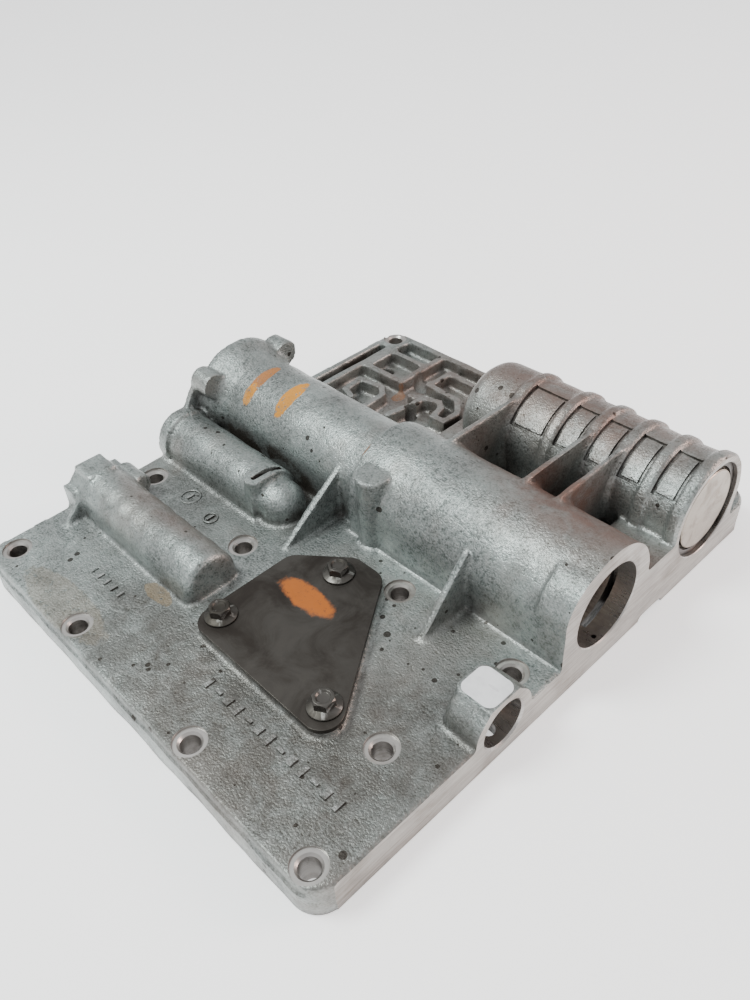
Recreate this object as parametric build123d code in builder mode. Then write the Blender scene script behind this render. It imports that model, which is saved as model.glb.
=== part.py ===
"""Hydraulic control body: a die-cast plate with five plugged bores, their pistons and valves.

The frame is +Z up from the gasket face, +X out of the face with the open bores and +Y towards
the ribbed barrel. The origin is at the middle of the plate, on the gasket face. Millimetres.
"""

from build123d import *
from collections import namedtuple
from math import cos, radians, sin
import os

os.makedirs("parts", exist_ok=True)

# ---------------------------------------------------------------- plate
PLATE_LENGTH = 222.0  # along X
PLATE_WIDTH = 255.0  # along Y
PLATE_THICKNESS = 15.5
PLATE_CORNER = 11.0
PLATE_EDGE = 1.2  # rounding of the upper rim
FACE_X = PLATE_LENGTH / 2  # machined face with the open bores
BACK_X = -PLATE_LENGTH / 2
NEAR_Y = -PLATE_WIDTH / 2
FAR_Y = PLATE_WIDTH / 2

# ---------------------------------------------------------------- bolt holes through the plate
HOLE_RADIUS = 3.85
HOLE_RING = 6.4  # spot face around a hole
HOLE_RING_DEPTH = 0.9
HOLE_CHAMFER = 1.2
EDGE_INSET = 7.7  # hole centre from the near edge
FAR_INSET = 6.8  # hole centre from the far edge
FACE_INSET = 10.0  # hole centre from the open-bore face
BACK_INSET = 7.3  # hole centre from the back edge

# ---------------------------------------------------------------- barrels
SERVO_Y = 17.8  # shared axis of the long barrel
SERVO_Z = 29.7
FRONT_BARREL_RADIUS = 26.0
FRONT_BARREL_LENGTH = 113.5
FRONT_BORE_RADIUS = 18.2
FRONT_BORE_DEPTH = 102.0
COLUMN_RADIUS = 7.5  # half-round column beside the step
COLUMN_OFFSET = 12.5
COLUMN_INSET = 4.7
COLUMN_TOP_Z = 50.0
REAR_BARREL_RADIUS = 21.8
REAR_BORE_RADIUS = 16.0
REAR_END_WALL = 9.0
REAR_FLANGE_RADIUS = 26.6
REAR_FLANGE_LENGTH = 5.0
REAR_NECK_LENGTH = 18.0
EAR_RADIUS = 6.5
EAR_REACH = 26.5  # ear centre from the barrel axis
EAR_LENGTH = 12.0
EAR_ANGLES = (144.0, 32.0)

RIBBED_Y = 86.6
RIBBED_Z = 31.6
RIBBED_RADIUS = 23.3
RIBBED_LENGTH = 117.0
RIBBED_END_ROUND = 9.0
RIBBED_BORE_RADIUS = 18.5
RIBBED_BORE_DEPTH = 108.0
RIBBED_MOUTH_RADIUS = 21.3
RIBBED_MOUTH_DEPTH = 6.2
RIB_HEIGHT = 1.5
RIB_WIDTH = 4.4
RIB_PITCH = 16.0
RIB_FIRST = 3.0  # middle of the first rib from the face
RIB_COUNT = 5
LAST_BAY = 23.0  # from the last pitched rib to the closed end's rib
POCKET_DEPTH = 1.6
POCKET_ANGLES = (93.0, 141.0)

SPOOL_D_Y = -70.8
SPOOL_D_Z = 21.0
SPOOL_D_BARREL = 12.4
SPOOL_D_LENGTH = 96.0
SPOOL_D_SPREAD = 1.3  # the foot is this much wider on each side
SPOOL_D_ROUND = 3.5
SPOOL_D_DRAFT = 5.0
SPOOL_D_BORE = 7.5
SPOOL_D_DEPTH = 88.0

SPOOL_E_Y = -20.0
SPOOL_E_Z = 21.5
SPOOL_E_BARREL = 12.6
SPOOL_E_LENGTH = 73.0
SPOOL_E_BORE = 7.0
SPOOL_E_DEPTH = 70.5
SLOT_FLAT_Z = 34.3  # raised flat round the retainer slot
SLOT_FLAT_HALF = 4.6
SLOT_FLAT_REACH = 7.0
DOME_RADIUS = 10.6
DOME_REACH = 15.0  # dome's end beyond the barrel
STEM_POCKET_RADIUS = 4.2
STEM_POCKET_DEPTH = 9.0

PORT_Y = -40.0
PORT_Z = 15.8
PORT_RADIUS = 10.0
PORT_DEPTH = 11.0
PORT_BOSS_RADIUS = 14.6
PORT_BOSS_LENGTH = 17.0
PORT_BOSS_ROUND = 4.0
PORT_FLAT_Z = 29.0
PORT_FLAT_WIDTH = 16.0
PORT_PASSAGE_RADIUS = 3.0
PORT_DRILL_X = FACE_X - PORT_DEPTH + PORT_PASSAGE_RADIUS + 0.5

# ---------------------------------------------------------------- fits and small parts
PLUG_CLEARANCE = 0.05  # plug in its bore
PISTON_CLEARANCE = 0.30  # piston skirt in its bore
SEAL_CLEARANCE = 0.06  # seal's outside in its bore
SEAL_GAP = 0.15  # seal in its groove, along the axis
SPOOL_CLEARANCE = 0.05
REST_GAP = 0.30  # piston from its plug at rest
SPRING_GAP = 0.05
RING_WIDTH = 1.6  # snap ring
RING_DEPTH = 1.6  # groove beyond the bore
RING_INNER = 3.0  # how far the ring stands into the bore
RING_GAP = 0.1
ORING_SECTION = 1.5
PIN_RADIUS = 1.5
PIN_CLEARANCE = 0.05

# ---------------------------------------------------------------- stacks inside the bores
FRONT_RING_DEPTH = 14.2
FRONT_PLUG_LENGTH = 10.0
FRONT_PISTON_LENGTH = 24.0
FRONT_SPRING = (10.4, 3.0, 8)  # mean radius, wire, turns
REAR_RING_DEPTH = 3.0
REAR_PLUG_LENGTH = 10.0
REAR_PISTON_LENGTH = 22.0
REAR_SPRING = (8.6, 2.4, 9)
RIBBED_RING_DEPTH = 2.0
RIBBED_PLUG_FACE = 1.2  # depth of the plug's outer face
RIBBED_PLUG_LENGTH = 12.0
RIBBED_PISTON_LENGTH = 26.0
RIBBED_OUTER_SPRING = (11.2, 2.8, 8)
RIBBED_INNER_SPRING = (6.4, 1.8, 12)
PISTON_CHAMFER = 1.0
PISTON_CROWN = 9.0  # thickness of the crown
PISTON_WALL = 5.0  # from the skirt to the spring's pocket
SEAL_START = 4.0  # seal groove from the crown's face
SEAL_WIDTH = 3.0
SEAL_DEPTH = 2.4
PIN_DEPTH = 7.0
PIN_WALL = 0.6
SPOOL_PLUG_START = 1.0
SPOOL_PLUG_LENGTH = 12.0
SPOOL_D_VALVE = 44.0
SPOOL_D_LANDS = ((0, 10), (16, 26), (34, SPOOL_D_VALVE))
SPOOL_D_STEM = 3.6
SPOOL_D_TAIL = 3.0
SPOOL_D_SPRING = (5.6, 1.4, 9)
SPOOL_E_VALVE = 34.0
SPOOL_E_LANDS = ((0, 8), (14, 22), (28, SPOOL_E_VALVE))
SPOOL_E_STEM = 3.0
SPOOL_E_SPRING = (5.2, 1.2, 7)
STEM_STOP_GAP = 1.0
RETAINER_THICKNESS = 2.0
RETAINER_GAP = 0.25
RETAINER_HALF = 8.0
RETAINER_Z = (12.3, 28.0)

# ---------------------------------------------------------------- cover over the filter pocket
COVER_CORNERS = ((-106.0, 30.4), (-106.0, 81.0), (-84.0, 98.6), (-68.0, 98.6), (-21.5, 30.4))
COVER_ORIGIN = (101.0, -120.0)  # from the corner list to the plate's frame
COVER_ROUND = 8.0
COVER_THICKNESS = 2.0
GASKET_THICKNESS = 0.5
GASKET_INSET = 0.8
COVER_PAD_HEIGHT = 2.4
COVER_PAD_INSET = 0.6
COVER_BOLTS = ((-99.3, 40.8), (-82.6, 87.4), (-37.8, 40.4))
COVER_POCKET_INSET = 11.0
COVER_POCKET_DEPTH = 8.0
BOLT_RADIUS = 3.0
THREAD_CLEARANCE = 0.05
BOLT_CLEARANCE = 0.3
BOLT_HEAD_ACROSS = 8.0
BOLT_HEAD_HEIGHT = 5.2
BOLT_FLANGE_RADIUS = 6.7
BOLT_FLANGE_HEIGHT = 1.3
BOLT_LENGTH = 14.0

# ---------------------------------------------------------------- webs, gussets and channels
FIN_THICKNESS = 2.5
FIN_TOP_Z = 53.5
GUSSET_THICKNESS = 3.0
BRIDGE_LENGTH = 26.0
BRIDGE_TOP_Z = 28.5
FRONT_GUSSET_DEPTH = 47.5  # from the open-bore face
REAR_GUSSET_DEPTH = 97.0  # from the back face
GUSSET_FOOT_Y = -36.0
CORNER_LENGTH = 13.5  # squared corner at the open mouth
CORNER_RISE = 23.4
CORNER_RADIUS = 17.0
END_BLOCK = (9.0, 14.0, 27.0)  # length, half width and top of the first short barrel's end block
END_PAD = (14.0, 34.0)  # length and top of the pad above it
FEED_LENGTH = 3.0
FRONT_FEEDS = (24.5, 88.0)  # depths from each bore's mouth
REAR_FEEDS = (13.0, 51.0)
RIBBED_FEEDS = (16.5, 101.0)
SPOOL_D_FEEDS = (24.5, 41.5, 75.0)
SPOOL_E_FEEDS = (22.5, 36.5, 60.0)
SERVO_FEED_HALF = 4.0
SPOOL_FEED_HALF = 3.0
CHANNEL_WIDTH = 6.5
CHANNEL_DEPTH = 5.0
TRACK_FLOOR_Z = 8.5
TRACK_WALL = 3.6
RIM_WALL = 4.6

Bore = namedtuple("Bore", "x side y z")
FRONT = Bore(FACE_X, 1, SERVO_Y, SERVO_Z)
REAR = Bore(BACK_X, -1, SERVO_Y, SERVO_Z)
RIBBED = Bore(FACE_X, 1, RIBBED_Y, RIBBED_Z)
SPOOL_D = Bore(BACK_X, -1, SPOOL_D_Y, SPOOL_D_Z)
SPOOL_E = Bore(BACK_X, -1, SPOOL_E_Y, SPOOL_E_Z)
PORT = Bore(FACE_X, 1, PORT_Y, PORT_Z)

FRONT_BARREL_START = FACE_X - FRONT_BARREL_LENGTH
REAR_BORE_DEPTH = FRONT_BARREL_START - BACK_X - REAR_END_WALL
COVER_BASE_Z = PLATE_THICKNESS + COVER_PAD_HEIGHT


# ================================================================ shared shapes
def turned(bore, profile):
    """Revolve (depth, radius) points about a bore's axis; depth runs inwards from its mouth."""
    outward = Vector(bore.side, 0, 0)
    plane = Plane(origin=(bore.x, bore.y, bore.z), x_dir=-outward, z_dir=Vector(0, bore.side, 0))
    with BuildPart() as part:
        with BuildSketch(plane):
            with BuildLine():
                Polyline(*profile, close=True)
            make_face()
        revolve(axis=Axis((bore.x, bore.y, bore.z), tuple(-outward)))
    return part.part


def rod(bore, radius, start, end):
    """A cylinder on a bore's axis between two depths from its mouth."""
    return turned(bore, ((start, 0), (start, radius), (end, radius), (end, 0)))


def ring(bore, inner, outer, start, end):
    """A ring on a bore's axis between two depths from its mouth."""
    return turned(bore, ((start, inner), (start, outer), (end, outer), (end, inner)))


def round_rod(bore, radius, start, end, rounding):
    """A cylinder on a bore's axis with its inner end rounded over."""
    with BuildPart() as part:
        add(rod(bore, radius, start, end))
        tip = part.faces().sort_by(Axis.X)[0 if bore.side > 0 else -1]
        fillet(tip.edges(), rounding)
    return part.part


def block(x_range, y_range, z_range):
    """A box given by its limits along each axis."""
    with BuildPart() as part:
        with BuildSketch(Plane.XY.offset(z_range[0])):
            with Locations((sum(x_range) / 2, sum(y_range) / 2)):
                Rectangle(x_range[1] - x_range[0], y_range[1] - y_range[0])
        extrude(amount=z_range[1] - z_range[0])
    return part.part


def post(x, y, radius, z_range):
    """An upright cylinder."""
    with BuildPart() as part:
        with BuildSketch(Plane.XY.offset(z_range[0])):
            with Locations((x, y)):
                Circle(radius)
        extrude(amount=z_range[1] - z_range[0])
    return part.part


def web(x_middle, thickness, outline):
    """A thin upright plate across X, given by its (y, z) outline."""
    with BuildPart() as part:
        with BuildSketch(Plane.YZ.offset(x_middle - thickness / 2)):
            with BuildLine():
                Polyline(*outline, close=True)
            make_face()
        extrude(amount=thickness)
    return part.part


def track(points, width, z_range):
    """A wall or channel of constant width along a line of points."""
    with BuildPart() as part:
        with BuildSketch(Plane.XY.offset(z_range[0])):
            with BuildLine():
                Polyline(*points)
            trace(line_width=width)
            with Locations(*points):
                Circle(width / 2)
        extrude(amount=z_range[1] - z_range[0])
    return part.part


def coil_spring(bore, start, end, mean_radius, wire, turns):
    """An open coil spring between two depths from a bore's mouth."""
    near = min(start, end) + wire / 2 + SPRING_GAP
    height = abs(end - start) - wire - 2 * SPRING_GAP
    foot = Vector(bore.x - bore.side * near, bore.y, bore.z)
    with BuildPart() as part:
        with BuildLine() as path:
            Helix(height / turns, height, mean_radius, center=foot, direction=(-bore.side, 0, 0))
        with BuildSketch(Plane(origin=path.line @ 0, z_dir=path.line % 0)):
            Circle(wire / 2)
        sweep(is_frenet=True)
    return part.part


def save(part, name):
    """Label a finished piece and write it as one STEP file."""
    part.label = name
    export_step(part, f"parts/{name}.step")


# ================================================================ casting: outside
def plate_blank():
    with BuildPart() as part:
        with BuildSketch():
            RectangleRounded(PLATE_LENGTH, PLATE_WIDTH, PLATE_CORNER)
        extrude(amount=PLATE_THICKNESS)
        fillet(part.faces().sort_by(Axis.Z)[-1].edges(), PLATE_EDGE)
    return part.part


def barrel(bore, radius, start, end, spread=0.0):
    """A barrel on a foot: a cylinder with side walls down into the plate."""
    foot_z = PLATE_THICKNESS / 2
    with BuildPart() as part:
        with BuildSketch(Plane.YZ.offset(bore.x - bore.side * start)):
            with Locations((bore.y, bore.z)):
                Circle(radius)
            with BuildLine():
                Polyline(
                    (bore.y - radius, bore.z),
                    (bore.y - radius - spread, foot_z),
                    (bore.y + radius + spread, foot_z),
                    (bore.y + radius, bore.z),
                    close=True,
                )
            make_face()
        extrude(amount=-bore.side * (end - start))
    return part.part


def servo_barrels():
    """The long barrel: a wide front part, a narrower rear part and its eared flange."""
    rear_length = FRONT_BARREL_START - BACK_X
    with BuildPart() as part:
        add(barrel(FRONT, FRONT_BARREL_RADIUS, 0, FRONT_BARREL_LENGTH))
        add(barrel(REAR, REAR_BARREL_RADIUS, 0, rear_length + 1))
        flange = (
            (0, 0),
            (0, REAR_FLANGE_RADIUS),
            (REAR_FLANGE_LENGTH, REAR_FLANGE_RADIUS),
            (REAR_NECK_LENGTH, REAR_BARREL_RADIUS),
            (REAR_NECK_LENGTH, 0),
        )
        add(turned(REAR, flange))
        for angle in EAR_ANGLES:
            ear_y = SERVO_Y + EAR_REACH * cos(radians(angle))
            ear_z = SERVO_Z + EAR_REACH * sin(radians(angle))
            add(rod(Bore(BACK_X, -1, ear_y, ear_z), EAR_RADIUS, 0, EAR_LENGTH))
    return part.part


def front_barrel_bosses():
    """The upright half-round boss at the step and the squared corner at the open mouth."""
    wall_y = SERVO_Y - FRONT_BARREL_RADIUS
    with BuildPart() as part:
        column = (FRONT_BARREL_START + COLUMN_OFFSET, wall_y + COLUMN_INSET)
        add(post(*column, COLUMN_RADIUS, (PLATE_THICKNESS / 2, COLUMN_TOP_Z)))
        low = (wall_y, SERVO_Z + 8)
        high = (wall_y + 15, SERVO_Z + CORNER_RISE)
        with BuildSketch(Plane.YZ.offset(FACE_X - CORNER_LENGTH)):
            with BuildLine():
                Line((wall_y, PLATE_THICKNESS), low)
                RadiusArc(low, high, CORNER_RADIUS)
                Line(high, (SERVO_Y, high[1]))
                Line((SERVO_Y, high[1]), (SERVO_Y, PLATE_THICKNESS))
                Line((SERVO_Y, PLATE_THICKNESS), (wall_y, PLATE_THICKNESS))
            make_face()
        extrude(amount=CORNER_LENGTH)
    return part.part


def rib_middles():
    """Depths of the ribs' middles from the open face."""
    depths = [RIB_FIRST + RIB_PITCH * i for i in range(RIB_COUNT)]
    return depths + [depths[-1] + LAST_BAY]


def ribbed_barrel():
    """The ribbed barrel: a closed cylinder on a foot, ringed by ribs."""
    with BuildPart() as part:
        add(round_rod(RIBBED, RIBBED_RADIUS, 0, RIBBED_LENGTH, RIBBED_END_ROUND))
        add(barrel(RIBBED, RIBBED_RADIUS - 1.5, 0, RIBBED_LENGTH - RIBBED_END_ROUND))
        for depth in rib_middles():
            start = max(depth - RIB_WIDTH / 2, 0)
            add(ring(RIBBED, 0, RIBBED_RADIUS + RIB_HEIGHT, start, depth + RIB_WIDTH / 2))
    return part.part


def spool_d_barrel():
    """The first short barrel, rounded at its inner end, with its end block, pad and lug."""
    foot_width = 2 * (SPOOL_D_BARREL + SPOOL_D_SPREAD)
    end_x = BACK_X + SPOOL_D_LENGTH
    with BuildPart() as part:
        add(round_rod(SPOOL_D, SPOOL_D_BARREL, 0, SPOOL_D_LENGTH, SPOOL_D_ROUND))
        add(barrel(SPOOL_D, SPOOL_D_BARREL, 0, SPOOL_D_LENGTH - 2 * SPOOL_D_ROUND, SPOOL_D_SPREAD))
        with BuildSketch(Plane.XY.offset(PLATE_THICKNESS / 2)) as foot:
            with Locations((end_x - SPOOL_D_LENGTH / 4, SPOOL_D_Y)):
                Rectangle(SPOOL_D_LENGTH / 2, foot_width)
            fillet(foot.vertices().sort_by(Axis.X)[-2:], SPOOL_D_ROUND)
        extrude(amount=SPOOL_D_Z - PLATE_THICKNESS / 2, taper=SPOOL_D_DRAFT)
        length, half, top = END_BLOCK
        add(block((BACK_X, BACK_X + length), (SPOOL_D_Y - half, SPOOL_D_Y + half), (8, top)))
        add(block((BACK_X, BACK_X + END_PAD[0]), (SPOOL_D_Y - 6.5, SPOOL_D_Y + 7.5), (20, END_PAD[1])))
        add(rod(Bore(BACK_X, -1, SPOOL_D_Y + 12.5, SPOOL_D_Z + 3), 5.0, 8, 24))
    return part.part


def spool_e_barrel():
    """The second short barrel, with its flange and the raised flat round its retainer slot."""
    slot_x = BACK_X + SPOOL_E_DEPTH - 1.3
    flat_y = (SPOOL_E_Y - SLOT_FLAT_REACH, SPOOL_E_Y + SLOT_FLAT_REACH / 4)
    with BuildPart() as part:
        add(barrel(SPOOL_E, SPOOL_E_BARREL, 0, SPOOL_E_LENGTH))
        add(ring(SPOOL_E, 0, SPOOL_E_BARREL + 1.8, 0, 7))
        add(post(slot_x, flat_y[0], SLOT_FLAT_HALF, (PLATE_THICKNESS, SLOT_FLAT_Z)))
        x_range = (slot_x - SLOT_FLAT_HALF, slot_x + SLOT_FLAT_HALF)
        add(block(x_range, flat_y, (PLATE_THICKNESS, SLOT_FLAT_Z)))
    return part.part


def spool_dome():
    """The round-ended bulge beyond the second spool barrel."""
    centre_x = BACK_X + SPOOL_E_LENGTH + DOME_REACH - DOME_RADIUS
    axis_z = SPOOL_E_Z - 1.0
    with BuildPart() as part:
        add(rod(Bore(centre_x, 1, SPOOL_E_Y, axis_z), DOME_RADIUS, 0, DOME_REACH))
        add(post(centre_x, SPOOL_E_Y, DOME_RADIUS, (PLATE_THICKNESS / 2, axis_z)))
        with Locations((centre_x, SPOOL_E_Y, axis_z)):
            Sphere(DOME_RADIUS)
    return part.part


def port_boss():
    """The flat-topped boss of the open port."""
    foot = PORT_BOSS_LENGTH - PORT_BOSS_ROUND
    with BuildPart() as part:
        add(round_rod(PORT, PORT_BOSS_RADIUS, 0, PORT_BOSS_LENGTH, PORT_BOSS_ROUND))
        add(barrel(PORT, PORT_BOSS_RADIUS, 0, foot, spread=1.0))
        with BuildSketch(Plane.XY.offset(PLATE_THICKNESS - 1)) as top:
            with Locations((FACE_X - PORT_BOSS_LENGTH / 2, PORT_Y)):
                Rectangle(PORT_BOSS_LENGTH, PORT_FLAT_WIDTH)
            fillet(top.vertices().sort_by(Axis.X)[:2], PORT_BOSS_ROUND)
        extrude(amount=PORT_FLAT_Z - PLATE_THICKNESS + 1)
        x_range = (FACE_X - PORT_BOSS_LENGTH - 5, FACE_X + 5)
        y_range = (PORT_Y - 20, PORT_Y + 20)
        add(block(x_range, y_range, (PORT_FLAT_Z, PORT_FLAT_Z + 20)), mode=Mode.SUBTRACT)
        add(block(x_range, y_range, (-20, 0)), mode=Mode.SUBTRACT)
    return part.part


def fins():
    """Three thin fins between the front barrel and the ribbed barrel."""
    front_y = SERVO_Y + FRONT_BARREL_RADIUS * 0.3
    ribbed_y = RIBBED_Y - RIBBED_RADIUS * 0.2
    outline = ((front_y, 8), (front_y, FIN_TOP_Z), (ribbed_y, FIN_TOP_Z), (ribbed_y, 8))
    depths = rib_middles()
    with BuildPart() as part:
        for depth in (depths[2], depths[3], depths[5]):
            add(web(FACE_X - depth, FIN_THICKNESS, outline))
    return part.part


def bridge():
    """The low web that joins the two large barrels at the open face."""
    return block((FACE_X - BRIDGE_LENGTH, FACE_X), (SERVO_Y, RIBBED_Y), (PLATE_THICKNESS / 2, BRIDGE_TOP_Z))


def gussets():
    """Triangular gussets that brace the barrels against the plate."""
    low = PLATE_THICKNESS - 2
    wall_y = SERVO_Y - FRONT_BARREL_RADIUS + 2
    rear_y = SERVO_Y - REAR_BARREL_RADIUS + 2
    with BuildPart() as part:
        front = ((wall_y, low), (wall_y, 45), (GUSSET_FOOT_Y + 2, low + 1))
        rear = ((rear_y + 4, low), (rear_y + 4, 43), (GUSSET_FOOT_Y - 2, low + 1))
        add(web(FACE_X - FRONT_GUSSET_DEPTH, GUSSET_THICKNESS, front))
        add(web(BACK_X + REAR_GUSSET_DEPTH, GUSSET_THICKNESS, rear))
        add(web(BACK_X + 1.6, 3.2, ((rear_y, low), (rear_y, 44), (-11, 44), (-31, low + 1))))
        edge_y = SPOOL_D_Y - 8
        add(web(BACK_X + 12, GUSSET_THICKNESS, ((edge_y, low), (edge_y, 30), (-95, low + 1))))
    return part.part


def cover_outline(inset):
    """The cover's rounded outline, shrunk by an inset, as a sketch on the plate's frame."""
    with BuildSketch() as outline:
        with BuildLine():
            Polyline(*[(x + COVER_ORIGIN[0], y + COVER_ORIGIN[1]) for x, y in COVER_CORNERS], close=True)
        make_face()
        fillet(outline.vertices(), COVER_ROUND)
        if inset:
            offset(amount=-inset, mode=Mode.REPLACE)
    return outline.sketch


def cover_layer(inset, z_range):
    """A slab with the cover's outline."""
    with BuildPart() as part:
        with BuildSketch(Plane.XY.offset(z_range[0])):
            add(cover_outline(inset))
        extrude(amount=z_range[1] - z_range[0])
    return part.part


def cover_bolt_places():
    return [(x + COVER_ORIGIN[0], y + COVER_ORIGIN[1]) for x, y in COVER_BOLTS]


# ================================================================ casting: hollows
def hole_places():
    """Centres of the bolt holes through the plate."""
    near_row = NEAR_Y + EDGE_INSET
    far_row = FAR_Y - FAR_INSET
    return [
        (FACE_X - FACE_INSET, near_row),
        (FACE_X - 73.6, near_row),
        (FACE_X - 152.1, near_row),
        (BACK_X + 9.8, near_row + 4.0),
        (FACE_X - 23.8, -75.5),
        (BACK_X + 82.1, -46.3),
        (BACK_X + 11.7, -45.7),
        (FACE_X - 71.1, -19.6),
        (FACE_X - 12.8, -20.6),
        (BACK_X + BACK_INSET, far_row),
        (FACE_X - FACE_INSET, far_row),
        (FACE_X - 72.0, far_row),
    ]


def bolt_holes():
    """Clearance holes with a spot face and a small chamfer."""
    with BuildPart() as part:
        for x, y in hole_places():
            add(post(x, y, HOLE_RADIUS, (-1, PLATE_THICKNESS + 1)))
            spot = PLATE_THICKNESS - HOLE_RING_DEPTH
            add(post(x, y, HOLE_RING, (spot, PLATE_THICKNESS + 8)))
            with Locations((x, y, spot - HOLE_CHAMFER / 2)):
                Cone(HOLE_RADIUS, HOLE_RADIUS + HOLE_CHAMFER, HOLE_CHAMFER)
    return part.part


def ring_groove(bore, radius, depth):
    """The groove of a snap ring."""
    return ring(bore, radius - 1, radius + RING_DEPTH, depth, depth + RING_WIDTH + 2 * RING_GAP)


def servo_hollows():
    """Bores of the long barrel, with the grooves of their snap rings and the drain slot."""
    front_groove = ring_groove(FRONT, FRONT_BORE_RADIUS, FRONT_RING_DEPTH)
    rear_groove = ring_groove(REAR, REAR_BORE_RADIUS, REAR_RING_DEPTH)
    with BuildPart() as part:
        add(rod(FRONT, FRONT_BORE_RADIUS, -1, FRONT_BORE_DEPTH))
        add(rod(REAR, REAR_BORE_RADIUS, -1, REAR_BORE_DEPTH))
        add(front_groove)
        add(rear_groove)
        slot_x = (FACE_X - 10.8, FACE_X - 8.2)
        add(block(slot_x, (SERVO_Y, SERVO_Y + FRONT_BORE_RADIUS + 2), (4, SERVO_Z)))
        add(post(FACE_X - 3.2, SERVO_Y - 1.5, 1.0, (6, SERVO_Z)))
    return part.part


def ribbed_hollows():
    """The ribbed barrel's stepped bore, its ring groove and the framed pockets outside."""
    first, last = POCKET_ANGLES
    depths = rib_middles()
    with BuildPart() as part:
        add(rod(RIBBED, RIBBED_MOUTH_RADIUS, -1, RIBBED_MOUTH_DEPTH))
        add(rod(RIBBED, RIBBED_BORE_RADIUS, 0, RIBBED_BORE_DEPTH))
        add(ring_groove(RIBBED, RIBBED_MOUTH_RADIUS, RIBBED_RING_DEPTH))
    with BuildPart() as pockets:
        for near, far in zip(depths, depths[1:]):
            start, end = near + RIB_WIDTH / 2 + 1.0, far - RIB_WIDTH / 2 - 1.0
            inner = RIBBED_RADIUS - POCKET_DEPTH
            add(ring(RIBBED, inner, RIBBED_RADIUS + 3, start, end))
        sector = Plane.YZ.offset(FACE_X)
        with BuildSketch(sector):
            with BuildLine():
                Polyline(
                    (RIBBED_Y, RIBBED_Z),
                    (RIBBED_Y + 60 * cos(radians(first)), RIBBED_Z + 60 * sin(radians(first))),
                    (RIBBED_Y + 60 * cos(radians(last)), RIBBED_Z + 60 * sin(radians(last))),
                    close=True,
                )
            make_face()
        extrude(amount=-RIBBED_LENGTH, mode=Mode.INTERSECT)
    return part.part, pockets.part


def spool_hollows():
    """Spool bores, their pin holes and the retainer slot."""
    slot_x = BACK_X + SPOOL_E_DEPTH
    with BuildPart() as part:
        add(rod(SPOOL_D, SPOOL_D_BORE, -1, SPOOL_D_DEPTH))
        add(rod(SPOOL_E, SPOOL_E_BORE, -1, SPOOL_E_DEPTH))
        add(rod(SPOOL_E, STEM_POCKET_RADIUS, 0, SPOOL_E_DEPTH + STEM_POCKET_DEPTH))
        for bore in (SPOOL_D, SPOOL_E):
            add(post(BACK_X + PIN_DEPTH, bore.y, PIN_RADIUS + PIN_CLEARANCE, (-1, bore.z)))
        slot = (slot_x - RETAINER_THICKNESS - 2 * RETAINER_GAP, slot_x)
        add(block(slot, (SPOOL_E_Y - RETAINER_HALF, SPOOL_E_Y + RETAINER_HALF), (12, 50)))
    return part.part


def port_hollows():
    """The open port and its drilled way down to the gasket face."""
    with BuildPart() as part:
        add(rod(PORT, PORT_RADIUS, -1, PORT_DEPTH))
        add(post(PORT_DRILL_X, PORT_Y, PORT_PASSAGE_RADIUS, (-1, PORT_Z)))
    return part.part


def cover_pocket():
    """The pocket under the cover and the threaded holes of its bolts."""
    with BuildPart() as part:
        floor = COVER_BASE_Z - COVER_POCKET_DEPTH
        with BuildSketch(Plane.XY.offset(floor)):
            add(cover_outline(COVER_POCKET_INSET))
            with Locations(*cover_bolt_places()):
                Circle(BOLT_RADIUS + 4.5, mode=Mode.SUBTRACT)
        extrude(amount=COVER_POCKET_DEPTH + 1)
        for x, y in cover_bolt_places():
            add(post(x, y, BOLT_RADIUS, (3, COVER_BASE_Z + 1)))
    return part.part


def worm_tracks():
    """The walled channels on top of the far back corner, open upwards."""
    left = BACK_X + RIM_WALL
    far = FAR_Y - RIM_WALL
    top = PLATE_THICKNESS
    walls = [
        ((-99.5, 62.0), (-99.5, 114.0)),
        ((-96.0, 91.0), (-69.5, 91.0), (-69.5, 123.0)),
        ((-95.0, 110.5), (-70.0, 110.5)),
        ((-95.5, 92.0), (-95.5, 112.0)),
        ((-80.0, 64.0), (-87.0, 66.5), (-88.5, 78.5), (-74.0, 80.5), (-68.5, 76.0), (-67.5, 63.0)),
        ((-56.0, 84.5), (-41.0, 90.0), (-36.5, 86.5), (-34.5, 78.5), (-27.5, 79.0), (-27.0, 88.0)),
        ((-56.0, 98.5), (-35.0, 97.5), (-28.0, 90.0)),
        ((-56.0, 98.5), (-55.0, 114.0), (-36.0, 113.0)),
        ((-53.0, 64.0), (-49.5, 84.0)),
    ]
    with BuildPart() as part:
        add(block((left, -22), (48, far), (TRACK_FLOOR_Z, top + 1)))
        add(post(BACK_X + BACK_INSET, FAR_Y - FAR_INSET, 9.2, (0, top + 2)), mode=Mode.SUBTRACT)
        for points in walls:
            add(track(points, TRACK_WALL, (0, top + 2)), mode=Mode.SUBTRACT)
        add(block((left, left + 4.8), (66, 81), (2, top)))
        add(post(-89.5, 100.5, 3.4, (-1, top)))
        add(post(-63.0, 102.5, 5.6, (-1, top)))
        add(post(-49.0, 77.0, 3.2, (-1, top)))
    return part.part


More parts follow.
